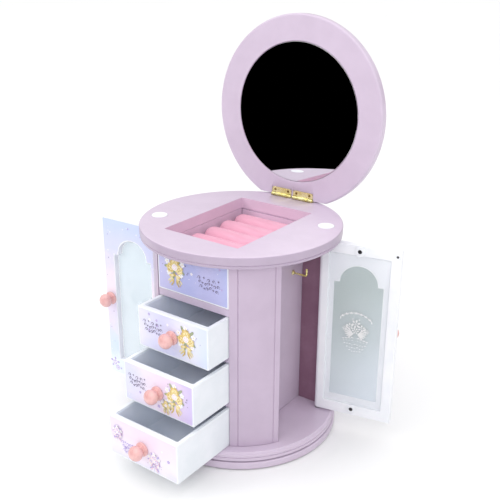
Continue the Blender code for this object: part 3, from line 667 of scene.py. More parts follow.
# ---- printed decoration ----
class Decal:
    """Thin raised print: outlines in a flat (u, v) plane, each laid a hair above the last."""

    def __init__(self, place, base):
        self.mesh = Mesh()
        self.place = place
        self.level = base

    def plate(self, outline, index, thick=0.03 * MM):
        self.level += 0.004 * MM
        self.mesh.index = index
        self.mesh.slab([self.place(u, v, self.level - thick) for u, v in outline],
                       [self.place(u, v, self.level) for u, v in outline])

    def dot(self, u, v, r, index):
        self.plate([polar(r, a * pi / 5, (u, v)) for a in range(10)], index)

    def star(self, u, v, r, index, points=4, waist=0.32):
        self.plate([polar(r * waist if k % 2 else r, pi / 2 + pi * k / points, (u, v))
                    for k in range(points * 2)], index)

    def petal(self, u, v, length, width, angle, index, notch=0.0):
        ca, sa = cos(angle), sin(angle)
        outline = []
        for k in range(14):
            t = 2 * pi * k / 14
            a = length * 0.5 * (1 + cos(t)) - (notch * length if k == 0 else 0)
            b = width * 0.5 * sin(t) * (0.75 + 0.25 * cos(t))
            outline.append((u + a * ca - b * sa, v + a * sa + b * ca))
        self.plate(outline, index)

    def rose(self, u, v, r, indices, turn=0.0):
        """Four whorls of petals, one inside the next."""
        whorls = ((6, 1.0, indices[0]), (5, 0.74, indices[1]), (4, 0.5, indices[2]), (3, 0.3, indices[0]))
        for number, (count, reach, index) in enumerate(whorls):
            for k in range(count):
                angle = turn + 2 * pi * k / count + number * 0.5
                self.petal(u, v, r * reach, r * reach * 0.95, angle, index, 0.06)
        self.dot(u, v, r * 0.12, indices[1])

    def blossom(self, u, v, r, petals, heart, turn=0.0):
        for k in range(5):
            self.petal(u, v, r, r * 0.92, turn + 2 * pi * k / 5, petals)
        self.dot(u, v, r * 0.2, heart)

    def ribbon(self, points, width, index):
        """A band along a path, widest at its middle."""
        left, right = [], []
        for k, (u, v) in enumerate(points):
            a, b = points[max(0, k - 1)], points[min(len(points) - 1, k + 1)]
            d = Vector((b[0] - a[0], b[1] - a[1])).normalized()
            w = width * (0.45 + 0.55 * sin(pi * (k + 0.6) / (len(points) + 0.2)))
            left.append((u - d.y * w, v + d.x * w))
            right.append((u + d.y * w, v - d.x * w))
        self.plate(left + right[::-1], index)

    def posy(self, u, v, size, rng, golden=True):
        """Generic posy: three roses in leaves, tied with a bow whose tails hang down."""
        tones = (GOLD_0, GOLD_1, GOLD_2) if golden else (MILK, ROSE, LILAC)
        for side in (-1, 1):
            for strand in range(3):
                path = []
                for k in range(11):
                    t = k / 10
                    sway = 0.06 + (0.3 + 0.16 * strand) * t + 0.07 * sin(7 * t + strand)
                    path.append((u + side * size * sway, v + size * (-0.6 - (1.0 - 0.16 * strand) * t)))
                self.ribbon(path, size * 0.075, tones[strand])
        for k in range(10):
            self.petal(u, v + 0.12 * size, size * (1.12 if k % 2 else 0.98), size * 0.34,
                       2 * pi * k / 10 + 0.15, SAGE if k % 2 and golden else LILAC)
        for du, dv in ((-0.78, 0.42), (0.78, 0.42), (0.0, 0.98), (-0.62, -0.52), (0.62, -0.52)):
            self.blossom(u + du * size, v + dv * size, size * 0.26, MILK, GOLD_1, rng.uniform(0, 1))
        for side in (-1, 1):
            for length, width, tone in ((0.62, 0.34, tones[1]), (0.42, 0.2, tones[2])):
                self.petal(u, v - 0.6 * size, size * length, size * width, pi / 2 - side * 1.9, tone)
        a, b, c = tones
        for du, dv, r, petals, turn in (
                (0, 0.46, 0.5, (a, b, c), 0.2), (-0.44, -0.08, 0.44, (b, a, c), 0.9),
                (0.44, -0.08, 0.44, (b, c, a), 0.4), (0, 0.04, 0.3, (MILK, ROSE, MILK), 0.7)):
            self.rose(u + du * size, v + dv * size, r * size, petals, turn)
        self.dot(u, v - 0.6 * size, size * 0.13, tones[0])
        for k in range(8):
            angle = rng.uniform(0, 2 * pi)
            reach = size * rng.uniform(1.1, 1.5)
            self.dot(u + reach * cos(angle), v + 0.8 * reach * sin(angle),
                     size * rng.uniform(0.03, 0.055), MAUVE)

    def flourish(self, u, v, width, index, height=14 * MM):
        """Rows of small scrolls and dots; pure ornament."""
        for row, count in enumerate((5, 7, 6)):
            base = v + height * (0.34 - 0.34 * row)
            for k in range(count):
                x = u + width * ((k + 0.5) / count - 0.5) * (1 - 0.12 * row)
                y = base + height * 0.07 * sin(k * 1.9 + row)
                if k % 3 == 1:
                    self.star(x, y, height * 0.11, index)
                    continue
                hand = 1 if (k + row) % 2 else -1
                path = []
                for n in range(12):
                    t = n / 11
                    r = height * 0.13 * (1 - 0.75 * t)
                    path.append((x + hand * r * cos(5.6 * t), y + r * sin(5.6 * t)))
                self.ribbon(path, height * 0.026, index)
                self.dot(x + hand * height * 0.17, y - height * 0.06, height * 0.025, index)


def front_print(name, low, high, key, body, posies, scrolls, seed):
    """Film and motifs on a drawer front or the fixed panel, whose outward side is -Y.

    Each posy is (u, v, size, golden) and scrolls is (u, v, width, paint), lengths in mm."""
    at = Matrix.Translation((0, low[1], low[2]))
    border, top = 1.5 * MM, high[2] - low[2]
    outline = fillet(rect(low[0] + border, border, high[0] - border, top - border), 0.8 * MM, 3)
    piece(name + "_film", Mesh().prism(outline, -0.12 * MM, -0.01 * MM, "Y"), PRINT[key], body,
          "printed_front", at=at)
    rng = random.Random(seed)
    decal = Decal(lambda u, v, h: (u, -h, v), 0.15 * MM)
    for k in range(26):
        u, v = rng.uniform(low[0] + 4 * MM, high[0] - 4 * MM), rng.uniform(4 * MM, top - 4 * MM)
        if k % 4 == 0:
            decal.blossom(u, v, rng.uniform(1.0, 1.9) * MM, MILK if k % 8 else LILAC, ROSE,
                          rng.uniform(0, 1))
        else:
            decal.dot(u, v, rng.uniform(0.2, 0.5) * MM, MILK)
    decal.flourish(*mm(scrolls[:3]), scrolls[3])
    for u, v, size, golden in posies:
        decal.posy(*mm([u, v, size]), rng, golden)
    piece(name + "_motif", decal.mesh, MOTIF_MATS, body, "printed_front", at=at)


# ---- drawers ----
def knob_profile():
    """Foot, collar and neck below a flattened ball; (radius, height) pairs."""
    foot, collar, neck, head, depth, centre = mm([7.4, 6.0, 4.6, 7.7, 6.2, 9.8])
    corners = [(0, 0), (foot, 0), (foot, 2.1 * MM), (collar, 2.5 * MM), (collar, 3.6 * MM),
               (neck, 3.9 * MM), (neck, 4.9 * MM)]
    ball = []
    for k in range(29):
        angle = radians(-52 + 142 * k / 28)
        ball.append((max(0.0, head * cos(angle)), centre + depth * sin(angle)))
    ball[-1] = (0.0, centre + depth)
    return fillet(corners + ball[:1], mm([0, 0.3, 0.9, 0.15, 0.5, 0.3, 0.2, 0]))[:-1] + ball


def build_knob(name, node, at, body, outward):
    """A turned knob; outward is -1 when it points along local -Y."""
    shape = Mesh().turned([(r, outward * h) for r, h in knob_profile()], 72, axis="Y")
    piece(name, shape, PINK_WOOD, body, "pink_wood", node, at=at)


def build_drawers():
    """Three drawers, then the print on the fixed panel above them."""
    fronts = (("lower", ((15, 14, 8, False), (-33, 28, 6.5, False)), (-20, 14, 16, LILAC)),
              ("middle", ((22, 25, 12, True), (11, 12, 6, True)), (-27, 25, 25, MAUVE)),
              ("upper", ((18, 25, 12, True),), (-25, 25, 27, MAUVE)))
    front, wall, floor = mm([5.5, 4.0, 3.0])
    for k, (name, posies, scrolls) in enumerate(fronts):
        body = "drawer_" + name
        low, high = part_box("drawer_box_" + name)
        piece("drawer_shell_" + name, Mesh().open_box(low, high, (wall, wall, front, wall), floor),
              WHITE_COOL, body, "white_paint", "drawer_box_" + name, bevel=(0.6, 3))
        # The lining's near-white felt is painted light.
        lining = Mesh().open_box(*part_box("drawer_lining_" + name), (0.7 * MM,) * 4, 0.7 * MM)
        piece("drawer_felt_" + name, lining, FELT_PAINTED_LIGHT, body, "grey_felt", "drawer_lining_" + name,
              bevel=(0.25, 2))
        knob_low, knob_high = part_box("drawer_knob_" + name)
        centre = (knob_low + knob_high) / 2
        build_knob("turned_knob_" + name, "drawer_knob_" + name,
                   Matrix.Translation((centre.x, knob_high.y, centre.z)), body, -1)
        front_print("drawer_print_" + name, low, high, name, body, posies, scrolls, 11 + k)
    front_print("panel_print", *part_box("fixed_front_panel"), "panel", "cabinet", ((-22, 27, 12.5, True),),
                (21, 20, 30, MAUVE), 21)


# ---- doors ----
HALF_T = DOOR_T / 2
DOOR_MID = (DOOR_REACH - HALF_T) / 2
RECESS_HALF, RECESS_Z0, RECESS_Z1, RECESS = mm([32.2, 33.5, 207.2, 2.4])
WINDOW_HALF, WINDOW_Z0, SHOULDER_Z, ARCH_R = mm([26.2, 42.5, 175.0, 20.2])
CLIP_ZS = {"bottom": 28.7 * MM, "top": 211.9 * MM}
KNOB_X, KNOB_Z = DOOR_REACH - 8.4 * MM, (DOOR_Z0 + DOOR_Z1) / 2


def window_outline(shrink=0.0):
    """The arched window in the door's (x, z) plane."""
    half, sill, spring = WINDOW_HALF - shrink, WINDOW_Z0 + shrink, SHOULDER_Z - shrink
    sides = [(DOOR_MID + half, sill), (DOOR_MID + half, spring)]
    arch = arc(ARCH_R - shrink, 0, 180, 40, (DOOR_MID, SHOULDER_Z))
    return sides + arch + [(DOOR_MID - half, spring), (DOOR_MID - half, sill)]


def crosshead(name, radius, centre, at, body):
    """Small domed screw with a cross cut in it; its head points to local -Y."""
    edge, rise = 0.05 * MM, radius * 0.32
    dome = [(radius * cos(radians(a)), -edge - rise * sin(radians(a)))
            for a in (0, 20, 40, 60, 76)]
    head = Mesh().turned([(0, 0), (radius, 0)] + dome + [(0, -edge - rise)], 36, centre, "Y")
    arm, slot = radius * 0.66, radius * 0.13
    plus, quarter = [], [(slot, slot), (arm, slot), (arm, -slot)]
    for _ in range(4):
        plus += quarter
        quarter = [(b, -a) for a, b in quarter]
    cross = Mesh().prism([(centre[0] + a, centre[2] + b) for a, b in plus],
                         centre[1] - 1.5 * MM, centre[1] - 0.18 * MM, "Y")
    piece(name, head, SCREW_DARK, body, "steel", at=at, cuts=[cross])


def build_door(side):
    x, y, _ = JOINTS["door_%s_hinge" % side]["pos_m"]
    at = Matrix.Translation((x, y, 0)) @ Matrix.Rotation(radians(DOOR_ANGLE[side]), 4, "Z")
    body = "door_" + side
    free_end = fillet(rect(0, -HALF_T, DOOR_REACH, HALF_T), mm([0, 0.9, 0.9, 0]))[1:-1]
    outline = arc(HALF_T, 90, 270, 20) + free_end
    door = to_object("door_leaf_" + side, Mesh().prism(outline, DOOR_Z0, DOOR_Z1), [WHITE], at, 40)
    carve(door, Mesh().box((DOOR_MID - RECESS_HALF, -HALF_T - PAST, RECESS_Z0),
                           (DOOR_MID + RECESS_HALF, -HALF_T + RECESS, RECESS_Z1)))
    carve(door, Mesh().prism(window_outline(), -HALF_T - PAST, HALF_T + PAST, "Y"))
    soften(door, 0.4, 3, 50)
    settle(door)
    bores = Mesh()
    for z0, z1 in ((DOOR_Z0 - PAST, DOOR_Z0 + 8.5 * MM), (DOOR_Z1 - 9.5 * MM, DOOR_Z1 + PAST)):
        bores.rod(1.8 * MM, z0, z1)
    for z in CLIP_ZS.values():
        bores.rod(1.5 * MM, -HALF_T - PAST, 2 * MM, 32, (DOOR_MID, 0, z), "Y")
    carve(door, bores)
    mount(door, body, "white_paint", "door_frame_" + side)

    inset = 0.4 * MM
    glass = Mesh().box((DOOR_MID - RECESS_HALF + inset, -HALF_T + 0.1 * MM, RECESS_Z0 + inset),
                       (DOOR_MID + RECESS_HALF - inset, -HALF_T + RECESS - 0.3 * MM, RECESS_Z1 - inset))
    piece("door_glazing_" + side, glass, PANE[side], body, "clear_pane", "door_pane_" + side, at=at,
          bevel=(0.2, 2))
    tint = Mesh().prism(window_outline(0.2 * MM), -HALF_T + RECESS - 0.28 * MM,
                        -HALF_T + RECESS - 0.02 * MM, "Y")
    piece("door_window_tint_" + side, tint, TINT[side], body, "clear_pane", at=at)

    seat, reach, well = HALF_T + 0.3 * MM, 5.5 * MM, 2.6 * MM
    for place, z in CLIP_ZS.items():
        names = (place, side)
        shank, tip, face = 1.2 * MM, 1.5 * MM - HALF_T, -seat - 0.5 * MM
        turned_piece("pane_washer_%s_%s" % names,
                     [(0, tip), (shank, tip), (shank, -seat), (reach, -seat), (reach, -seat - 0.55 * MM),
                      (well, -seat - 0.95 * MM), (well, face), (0, face)], [0, 0, 0, 0, 0.35, 0.15, 0, 0],
                     WHITE, body, "white_paint", "pane_clip_%s_%s" % names, facets=48,
                     centre=(DOOR_MID, 0, z), axis="Y", at=at)
        crosshead("pane_screw_%s_%s" % names, 2.1 * MM, (DOOR_MID, face, z), at, body)
    x, z, face = DOOR_REACH - 4.0 * MM, 212.5 * MM, -HALF_T - 0.75 * MM
    cup = [(r * MM, -HALF_T - up * MM) for r, up in ((0, 0.3), (2.6, 0.3), (2.6, 0.8), (1.7, 1.05))]
    turned_piece("door_strike_" + side, cup + [(1.7 * MM, face), (0, face)], [0, 0, 0.3, 0.1, 0, 0], WHITE,
                 body, "steel", "strike_plate_" + side, facets=40, centre=(x, 0, z), axis="Y", at=at)
    crosshead("strike_screw_" + side, 1.3 * MM, (x, face, z), at, body)
    build_knob("turned_door_knob_" + side, "door_knob_" + side,
               at @ Matrix.Translation((KNOB_X, HALF_T + 0.3 * MM, KNOB_Z)), body, 1)
    door_print(side, at, body)
    pane_ornament(side, at, body)


def door_print(side, at, body):
    """Printed film over the door's outer face, cut out around the window, and its motifs."""
    edge, grow = 2.0 * MM, 1.0 * MM
    outline = fillet(rect(1.0 * MM, DOOR_Z0 + edge, DOOR_REACH - edge, DOOR_Z1 - edge), 1.0 * MM, 3)
    hole = [(x + (grow if x > DOOR_MID else -grow), z + (grow if z > 100 * MM else -grow))
            for x, z in window_outline()]
    cuts = [Mesh().prism(hole, HALF_T - PAST, HALF_T + PAST, "Y"),
            Mesh().rod(7.6 * MM, HALF_T - PAST, HALF_T + PAST, 48, (KNOB_X, 0, KNOB_Z), "Y")]
    piece("door_print_film_" + side, Mesh().prism(outline, HALF_T + 0.01 * MM, HALF_T + 0.14 * MM, "Y"),
          PRINT["door"], body, "printed_front", at=at, cuts=cuts)
    rng = random.Random(31 if side == "left" else 32)
    decal = Decal(lambda u, v, h: (u, HALF_T + h, v), 0.18 * MM)
    for k in range(5):
        decal.petal(*mm([73, 36, 7, 3.2]), 0.4 + 2 * pi * k / 5, LILAC)
    decal.rose(*mm([73, 36, 4.6]), (MILK, LILAC, MILK), 0.1)
    decal.rose(*mm([69, 30, 3.2]), (LILAC, MILK, LILAC), 0.6)
    for k in range(46):
        u = rng.choice((rng.uniform(67.5, 77), rng.uniform(2.5, 9))) * MM
        v = rng.uniform(26, 208) * MM
        if abs(u - KNOB_X) < 8.5 * MM and abs(v - KNOB_Z) < 9 * MM:
            continue
        if k % 5 == 0:
            decal.star(u, v, rng.uniform(1.2, 2.2) * MM, MILK)
        else:
            decal.dot(u, v, rng.uniform(0.25, 0.6) * MM, MILK if k % 2 else MAUVE)
    for k in range(16):
        u = rng.uniform(14, 64) * MM
        v = rng.choice((rng.uniform(200, 212), rng.uniform(26, 38))) * MM
        decal.star(u, v, rng.uniform(0.8, 1.8) * MM, MILK if k % 2 else LILAC)
    piece("door_print_motif_" + side, decal.mesh, MOTIF_MATS, body, "printed_front", at=at)


def pane_ornament(side, at, body):
    """Frosted sprig on the pane: blossoms over leaves, swags of dots; no lettering."""
    decal = Decal(lambda u, v, h: (u, -HALF_T + 0.1 * MM - h, v), 0.05 * MM)
    upright = pi / 2

    def place(u, v):
        """A spot in mm from the middle of the sprig."""
        return DOOR_MID + u * MM, (124 + v) * MM

    def petal(u, v, length, width, angle):
        decal.petal(*place(u, v), length * MM, width * MM, angle, 0)

    def dot(u, v, r):
        decal.dot(*place(u, v), r * MM, 0)

    def spray(u, v, r, turn=0.0):
        for k in range(6):
            angle = turn + pi * k / 3
            petal(*polar(0.3 * r, angle, (u, v)), 0.75 * r, 0.54 * r, angle)
        dot(u, v, 0.17 * r)

    for s in (1, -1):
        for k in range(6):
            petal(s * 2.2, -4.5, 12.5 - 1.1 * k, 1.9, upright - s * (0.8 + 0.3 * k))
        for k in range(4):
            petal(s * (1.5 + 3.1 * k), -9.6 - 0.5 * k, 3.4, 1.3, upright - s * (1.25 + 0.15 * k))
            dot(s * (3.0 + 3.1 * k), -12.2 - 0.4 * k, 0.5)
        spray(s * 6.4, 3.2, 3.9, 0.5 * s)
        spray(s * 11.8, 0.5, 2.6, 0.2 * s)
        decal.star(*place(s * 3.4, 12.6), 1.5 * MM, 0)
    spray(0, 7.4, 4.8, 0.3)
    spray(0, -0.6, 3.6)
    for k in range(15):
        t = radians(36 + 108 * k / 14)
        u, v = 20.5 * cos(t), 3.5 + 17 * sin(t)
        if k % 2:
            dot(u, v, 0.75)
            continue
        for lean in (0.6, pi - 0.6):
            petal(u, v, 3.0, 1.5, t + upright + lean)
    for row in range(3):
        count = 9 - 2 * row
        for k in range(count):
            u, v = (k - (count - 1) / 2) * 2.8, -17 - row * 3.8 + 0.5 * sin(1.7 * k + row)
            if k % 2:
                dot(u, v, 0.6)
            else:
                petal(u - 1.2, v, 2.5, 1.1, 0.4)
    piece("pane_ornament_" + side, decal.mesh, FROST[side], body, "clear_pane", at=at)


# ---- magnets and hooks ----
def build_fittings():
    for side, sign in SIDES:
        node = "door_magnet_" + side
        board("magnet_case_" + side, node, WHITE, "white_paint", 0.8)
        low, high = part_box(node)
        mid, disc_t = (low + high) / 2, 0.1 * MM
        piece("magnet_disc_" + side, Mesh().rod(2.4 * MM, 0, disc_t, axis="X"), STEEL, "cabinet", "steel",
              at=Matrix.Translation((high.x if sign > 0 else low.x - disc_t, mid.y, mid.z)))

        node = "necklace_hook_" + side
        low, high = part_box(node)
        wire, bend = 1.0 * MM, 2.2 * MM
        wall, tip = (low.x, high.x - wire) if sign > 0 else (high.x, low.x + wire)
        y, z = (low.y + high.y) / 2, low.z + wire
        path = [(wall, z)] + [(tip - sign * bend + sign * u, z + v) for u, v in
                              arc(bend, -90, 0, 10, (0, bend))] + [(tip, high.z)]
        curve = bpy.data.curves.new("hook_wire_" + side, "CURVE")
        curve.dimensions = "3D"
        curve.bevel_depth = wire
        curve.bevel_resolution = 6
        curve.use_fill_caps = True
        spline = curve.splines.new("POLY")
        spline.points.add(len(path) - 1)
        for point, (x, up) in zip(spline.points, path):
            point.co = (x, y, up, 1)
        curve.materials.append(BRASS)
        obj = bpy.data.objects.new("hook_wire_" + side, curve)
        bpy.context.scene.collection.objects.link(obj)
        mount(obj, "cabinet", "brass", node)
        turn = IDENTITY if sign > 0 else Matrix.Rotation(pi, 4, "Z")
        turned_piece("hook_collar_" + side, mm([(0.9, 0), (2.8, 0), (2.2, 1.2), (0.9, 1.6)]),
                     [0, 0.2, 0.4, 0], BRASS, "cabinet", "brass", steps=3, facets=36, axis="X",
                     at=Matrix.Translation((wall, y, z)) @ turn)


# ---- lid ----
def build_lid():
    recess_r, recess = MIRROR_R + 0.5 * MM, 2.3 * MM
    corners = [(0, recess), (recess_r, recess), (recess_r, 0), (LID_R, 0), (LID_R, LID_T), (0, LID_T)]
    disc = Mesh().turned(fillet(corners, mm([0, 0.1, 0.7, 2.4, 2.8, 0]), 6), ROUND, (0, 0, LID_REACH), "Y")
    lid = to_object("lid_moulded", disc, [LAVENDER], LID_FRAME)
    carve(lid, Mesh().box((-LID_R, -5 * MM, -20 * MM), (LID_R, LID_T + 5 * MM, 0.2 * MM)))
    soften(lid, 0.35, 2, 60)
    settle(lid)
    mortise = mm([(-1.0, -1.0), (2.5, -1.0), (2.5, 2.5), (1.15, 2.5), (1.15, 8.6), (-1.0, 8.6)])
    cut = Mesh()
    for _, s in SIDES:
        cut.prism(mortise, s * HINGE_X - HINGE_HALF - 0.5 * MM, s * HINGE_X + HINGE_HALF + 0.5 * MM, "X")
    carve(lid, cut)
    mount(lid, "lid", "lavender_paint", "lid_disc")
    back, front = 0.3 * MM, 2.0 * MM
    turned_piece("lid_mirror_disc", rect(0, back, MIRROR_R, front), [0, 0.35, 0.1, 0], MIRROR, "lid",
                 "mirror", "lid_mirror", centre=(0, 0, LID_REACH), axis="Y", at=LID_FRAME, sharp=20)
    for side, s in SIDES:
        build_hinge(side, s * HINGE_X)


def slotted_head(shape, x, z, radius=1.45 * MM, rise=0.6 * MM, slot=0.16 * MM):
    """A domed slotted screw head at (x, 0, z), pointing to -Y, added to a shape."""
    dome = [(radius * cos(radians(a)), -rise * sin(radians(a))) for a in (0, 25, 50, 72)]
    shape.turned([(0, 0.25 * MM), (radius, 0.25 * MM)] + dome + [(0, -rise)], 24, (x, 0, z), "Y")
    reach = radius * 0.8
    shape.box((x - reach, -rise - 0.02 * MM, z - slot), (x + reach, -rise + 0.12 * MM, z + slot))


def build_hinge(side, x):
    """One butt hinge: the lid's leaf and screws, the plate's leaf, and the pin; x is its middle."""
    leaf_t, knuckle, gap, far, lay = mm([0.8, 7.4, 0.3, 3, 0.05])
    start = degrees(asin(sqrt(BARREL_R ** 2 - (lay + leaf_t) ** 2) / BARREL_R))
    end = -360 + degrees(acos(lay / BARREL_R))
    moving = [(lay, 8.2 * MM), (lay + leaf_t * 0.6, 8.2 * MM), (lay + leaf_t, 7.7 * MM)]
    moving += arc(BARREL_R, start, end, 36)
    ends, corners = Mesh(), Mesh()
    for a, b in ((-HINGE_HALF - 1 * MM, -knuckle), (knuckle, HINGE_HALF + 1 * MM)):
        ends.box((x + a, -far, -far), (x + b, far, BARREL_R + gap))
    round_r = 2.2 * MM
    for s in (1, -1):
        cx, cz, past = x + s * (HINGE_HALF - round_r), 6.0 * MM, 4 * MM
        outline = [(cx + s * round_r * sin(radians(t)), cz + round_r * cos(radians(t)))
                   for t in range(0, 91, 15)]
        outline += [(cx + s * past, cz), (cx + s * past, 9 * MM), (cx, 9 * MM)]
        corners.prism(outline, -far, far, "Y")
    piece("hinge_leaf_lid_" + side, Mesh().prism(moving, x - HINGE_HALF, x + HINGE_HALF, "X"), BRASS,
          "lid", "brass", "lid_hinge_moving_" + side, at=LID_FRAME, cuts=[ends, corners],
          bevel=(0.22, 2, 50))
    screws = Mesh()
    for dx in mm([-8.6, 8.6]):
        slotted_head(screws, x + dx, 5.3 * MM)
    piece("hinge_screws_" + side, screws, BRASS_SCREW, "lid", "brass", at=LID_FRAME)

    lift, at = leaf_t - BARREL_R, Matrix.Translation(LID_AXIS)
    fixed = [(4.4 * MM, -BARREL_R), (4.4 * MM, lift)]
    fixed += arc(BARREL_R, degrees(asin(lift / BARREL_R)), 270, 36)
    middle = Mesh().box((x - knuckle - gap, -far, -far), (x + knuckle + gap, BARREL_R + gap, far))
    piece("hinge_leaf_plate_" + side, Mesh().prism(fixed, x - HINGE_HALF, x + HINGE_HALF, "X"), BRASS,
          "cabinet", "brass", "lid_hinge_fixed_" + side, at=at, cuts=[middle], bevel=(0.12, 2, 50))
    pin, head, tip = 0.6 * MM, 1.3 * MM, HINGE_HALF + 0.45 * MM
    turned_piece("hinge_pin_" + side,
                 [(0, -tip), (head, -tip), (head, -HINGE_HALF), (pin, -HINGE_HALF), (pin, HINGE_HALF),
                  (head, HINGE_HALF), (head, tip), (0, tip)], [0, 0.3, 0, 0, 0, 0, 0.3, 0], BRASS,
                 "cabinet", "brass", steps=3, facets=24, centre=(x, 0, 0), axis="X", at=at)


# ---- ring rolls ----
def roll_mesh(length, radius, height, around=44, along=48):
    """A stuffed half-round roll, drawn in at its sewn ends; it stands on local z = 0."""
    shape, rings, foot = Mesh(), [], 1.0 * MM
    for i in range(along + 1):
        s = 2 * i / along - 1
        drawn = 0.80 + 0.20 * (1 - abs(s) ** 14) ** 0.5
        ring = []
        for k in range(around):
            a = 2 * pi * k / around
            ca, sa = cos(a), sin(a)
            y = copysign(abs(ca) ** 0.82, ca) * radius * drawn
            z = foot + (sa * (height - foot) * drawn if sa > 0 else -abs(sa) ** 0.6 * foot)
            ring.append((s * length / 2, y, z))
        rings.append(shape.ring(ring))
    for a, b in zip(rings, rings[1:]):
        shape.strip(a, b)
    shape.face(rings[0])
    shape.face(rings[-1])
    return shape


def build_rolls(count=5):
    low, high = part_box("ring_roll_pad")
    pitch = (high.y - low.y) / count
    length, height = high.x - low.x - 8.0 * MM, high.z - low.z + 1.2 * MM
    rolls = []
    for k in range(count):
        at = Matrix.Translation(((low.x + high.x) / 2, low.y + pitch * (k + 0.5), low.z + 0.3 * MM))
        shape = roll_mesh(length, pitch / 2 - 0.8 * MM, height)
        rolls.append(to_object("ring_roll_%d" % (k + 1), shape, [PINK_VELVET], at, 180))
    inflate(rolls, length)
    for roll in rolls:
        fine = roll.modifiers.new("fine", "SUBSURF")
        fine.levels = fine.render_levels = 1
        mount(roll, "cabinet", "pink_velvet", "ring_roll_pad")


def inflate(rolls, length, voxel=2.2 * MM, cap=0.75 * MM, frames=20):
    """Fill each cover: cloth under pressure, held along its glued base and its sewn ends."""
    starts = []
    for roll in rolls:
        skin = roll.modifiers.new("skin", "REMESH")
        skin.mode = "VOXEL"
        skin.voxel_size = voxel
        settle(roll)
        roll.data.materials.clear()
        roll.data.materials.append(PINK_VELVET)
        starts.append([vert.co.copy() for vert in roll.data.vertices])
        held = roll.vertex_groups.new(name="held")
        held.add([vert.index for vert in roll.data.vertices
                  if vert.co.z < 1.2 * MM or abs(vert.co.x) > length / 2 - 0.4 * MM], 1.0, "REPLACE")
        cloth = roll.modifiers.new("cover", "CLOTH")
        cloth.settings.quality = 5
        cloth.settings.use_pressure = True
        cloth.settings.uniform_pressure_force = 4
        cloth.settings.vertex_group_mass = held.name
        cloth.settings.effector_weights.gravity = 0
        cloth.collision_settings.use_collision = False
        cloth.point_cache.frame_start = 1
        cloth.point_cache.frame_end = frames
    scene = bpy.context.scene
    for number in range(1, frames + 1):
        scene.frame_set(number)
    for roll, start in zip(rolls, starts):
        settle(roll)
        for vert, home in zip(roll.data.vertices, start):
            move = vert.co - home
            if move.length > cap:
                vert.co = home + move * (cap / move.length)
        roll.data.shade_smooth()
    scene.frame_set(1)


# ---- musical movement ----
def build_movement():
    """The winding key, then metals for the hidden parts that keep their CAD meshes."""
    inner_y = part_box("winding_key")[0].y
    key = JOINTS["key_turn"]["pos_m"]
    at = Matrix.Translation((key[0], 0, key[2]))
    shaft = [(0, inner_y), (2.4 * MM, inner_y)] + mm([(2.4, 81), (3.4, 81), (3.4, 87), (0, 87)])
    turned_piece("key_shaft", shaft, [0, 0.2, 0.2, 0.4, 0.7, 0], BRASS, "winding", "brass",
                 "winding_key", facets=48, axis="Y", at=at)
    wings, holes = Mesh(), Mesh()
    for s in (1, -1):
        wings.prism(arc(5 * MM, 0, 360, 47, (s * 5.2 * MM, 90 * MM))[:-1], -0.9 * MM, 0.9 * MM)
        holes.rod(2.1 * MM, -3 * MM, 3 * MM, 40, (s * 5.8 * MM, 90 * MM, 0))
    wings.prism(fillet(mm(rect(-3.2, 85.5, 3.2, 93)), 1 * MM), -0.88 * MM, 0.88 * MM)
    piece("key_wings", wings, BRASS, "winding", "brass", at=at, sharp=40, cuts=[holes], bevel=(0.3, 2, 50))

    for mat, nodes in ((BRASS_DULL, ("movement_frame", "spring_barrel", "pinned_cylinder")),
                       (STEEL, ("tone_comb", "governor", "turntable_race", "turntable_bolt",
                                "bottom_pivot_pin_right", "bottom_pivot_pin_left"))):
        for node in nodes:
            data = NODES[node].data
            data.materials.clear()
            data.materials.append(mat)


# ---- stage ----
CAMERA_AT = (0.46243, -0.61550, 0.49948)
CAMERA_AZIMUTH, CAMERA_ELEVATION, CAMERA_ROLL = 36.236, 21.287, 0.310
CAMERA_LENS = 56.73


def build_camera():
    data = bpy.data.cameras.new("camera")
    data.lens = CAMERA_LENS
    data.sensor_width = 36.0
    data.clip_start = 0.01
    data.clip_end = 60
    camera = bpy.data.objects.new("camera", data)
    camera.matrix_world = Matrix.Translation(CAMERA_AT)
    for angle, axis in ((CAMERA_AZIMUTH, "Z"), (90 - CAMERA_ELEVATION, "X"), (CAMERA_ROLL, "Z")):
        camera.matrix_world @= Matrix.Rotation(radians(angle), 4, axis)
    bpy.context.scene.collection.objects.link(camera)
    bpy.context.scene.camera = camera


def area_light(name, at, aim_z, size, watts, colour=(1, 1, 1), glossy=False):
    data = bpy.data.lights.new(name, "AREA")
    data.shape = "DISK"
    data.size = size
    data.energy = watts
    data.color = colour
    obj = bpy.data.objects.new(name, data)
    obj.location = at
    obj.visible_glossy = glossy
    obj.rotation_euler = (Vector((0, 0, aim_z)) - Vector(at)).to_track_quat("-Z", "Y").to_euler()
    bpy.context.scene.collection.objects.link(obj)


def stage_piece(name, shape, mat, at=IDENTITY, unseen_by=()):
    obj = to_object(name, shape, [mat], at)
    for ray in unseen_by:
        setattr(obj, "visible_" + ray, False)


def sheet(low, high):
    shape = Mesh()
    shape.face(shape.ring((x, y, 0) for x, y in rect(*low, *high)))
    return shape


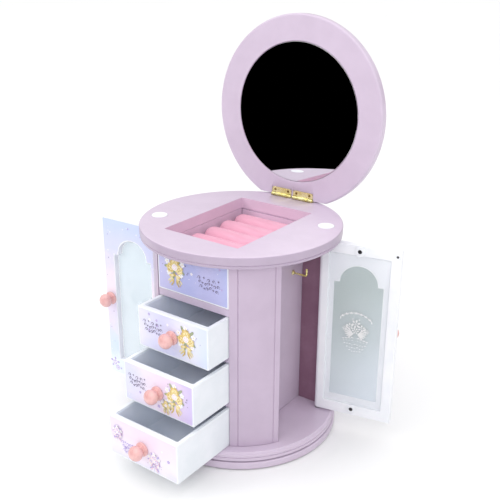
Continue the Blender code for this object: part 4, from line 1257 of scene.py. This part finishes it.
def build_stage():
    """Pale floor, white backdrop, three cards that only reflections see, lights and sky."""
    floor = Look("studio_floor", Roughness=0.9, Specular_IOR_Level=0.1)
    floor.set(Base_Color=floor.grey(floor.noise(2, 2, 0.5), 0.85, 0.87))
    stage_piece("studio_floor", sheet((-20, -20), (20, 20)), floor.owner)
    card = Look("black_card", Roughness=1.0, Specular_IOR_Level=0.0, Base_Color=(0, 0, 0, 1))
    flat = Matrix.Translation((0, 0, 0.8 * MM))
    upright = Matrix.Translation((-2.6, -3.7, 0)) @ Matrix.Rotation(radians(-35), 4, "Z") \
        @ Matrix.Rotation(radians(90), 4, "X")
    for name, at, low, high in (("card_floor", flat, (-5.0, -5.5), (-0.10, -0.30)),
                                ("card_floor_front", flat, (-0.10, -7.5), (2.6, -0.80)),
                                ("card_wall", upright, (-4.0, 0.0), (4.0, 1.1))):
        stage_piece(name, sheet(low, high), card.owner, at,
                    ("camera", "diffuse", "shadow", "transmission", "volume_scatter"))
    paper = Look("backdrop_paper", Roughness=1.0, Specular_IOR_Level=0.0, Base_Color=(0, 0, 0, 1),
                 Emission_Color=(1, 1, 1, 1), Emission_Strength=1.02)
    wall_r, wall_top, sides = 19.0, 14.0, 96
    wall = Mesh()
    wall.strip(*[wall.ring((x, y, z) for x, y in arc(wall_r, 0, 360, sides)[:-1])
                 for z in (0.0, wall_top)])
    stage_piece("studio_backdrop", wall, paper.owner,
                unseen_by=("diffuse", "glossy", "shadow", "transmission", "volume_scatter"))
    area_light("key", (-1.3, -1.8, 1.4), 0.2, 1.2, 10.8)
    area_light("fill", (1.15, -1.6, 1.25), 0.15, 0.9, 10, (0.95, 0.97, 1.0))
    area_light("sparkle", (-0.9, -1.3, 1.5), 0.2, 0.22, 1.2, glossy=True)

    sky = Graph(bpy.data.worlds.new("studio"), "Background")
    way = sky.node("SeparateXYZ", Vector=sky.node("TexCoord").outputs["Generated"]).outputs["Z"]
    rise = sky.node("MapRange", To_Min=0.15, To_Max=1.7, Value=way).outputs["Result"]
    bpy.context.scene.world = sky.set(Color=(1, 1, 1, 1), Strength=rise)
    bpy.context.scene.view_settings.view_transform = "Standard"


build_camera()
build_base()
build_top_plate()
build_carcass()
build_drawers()
for door_side, _ in SIDES:
    build_door(door_side)
build_fittings()
build_lid()
build_rolls()
build_movement()
build_stage()
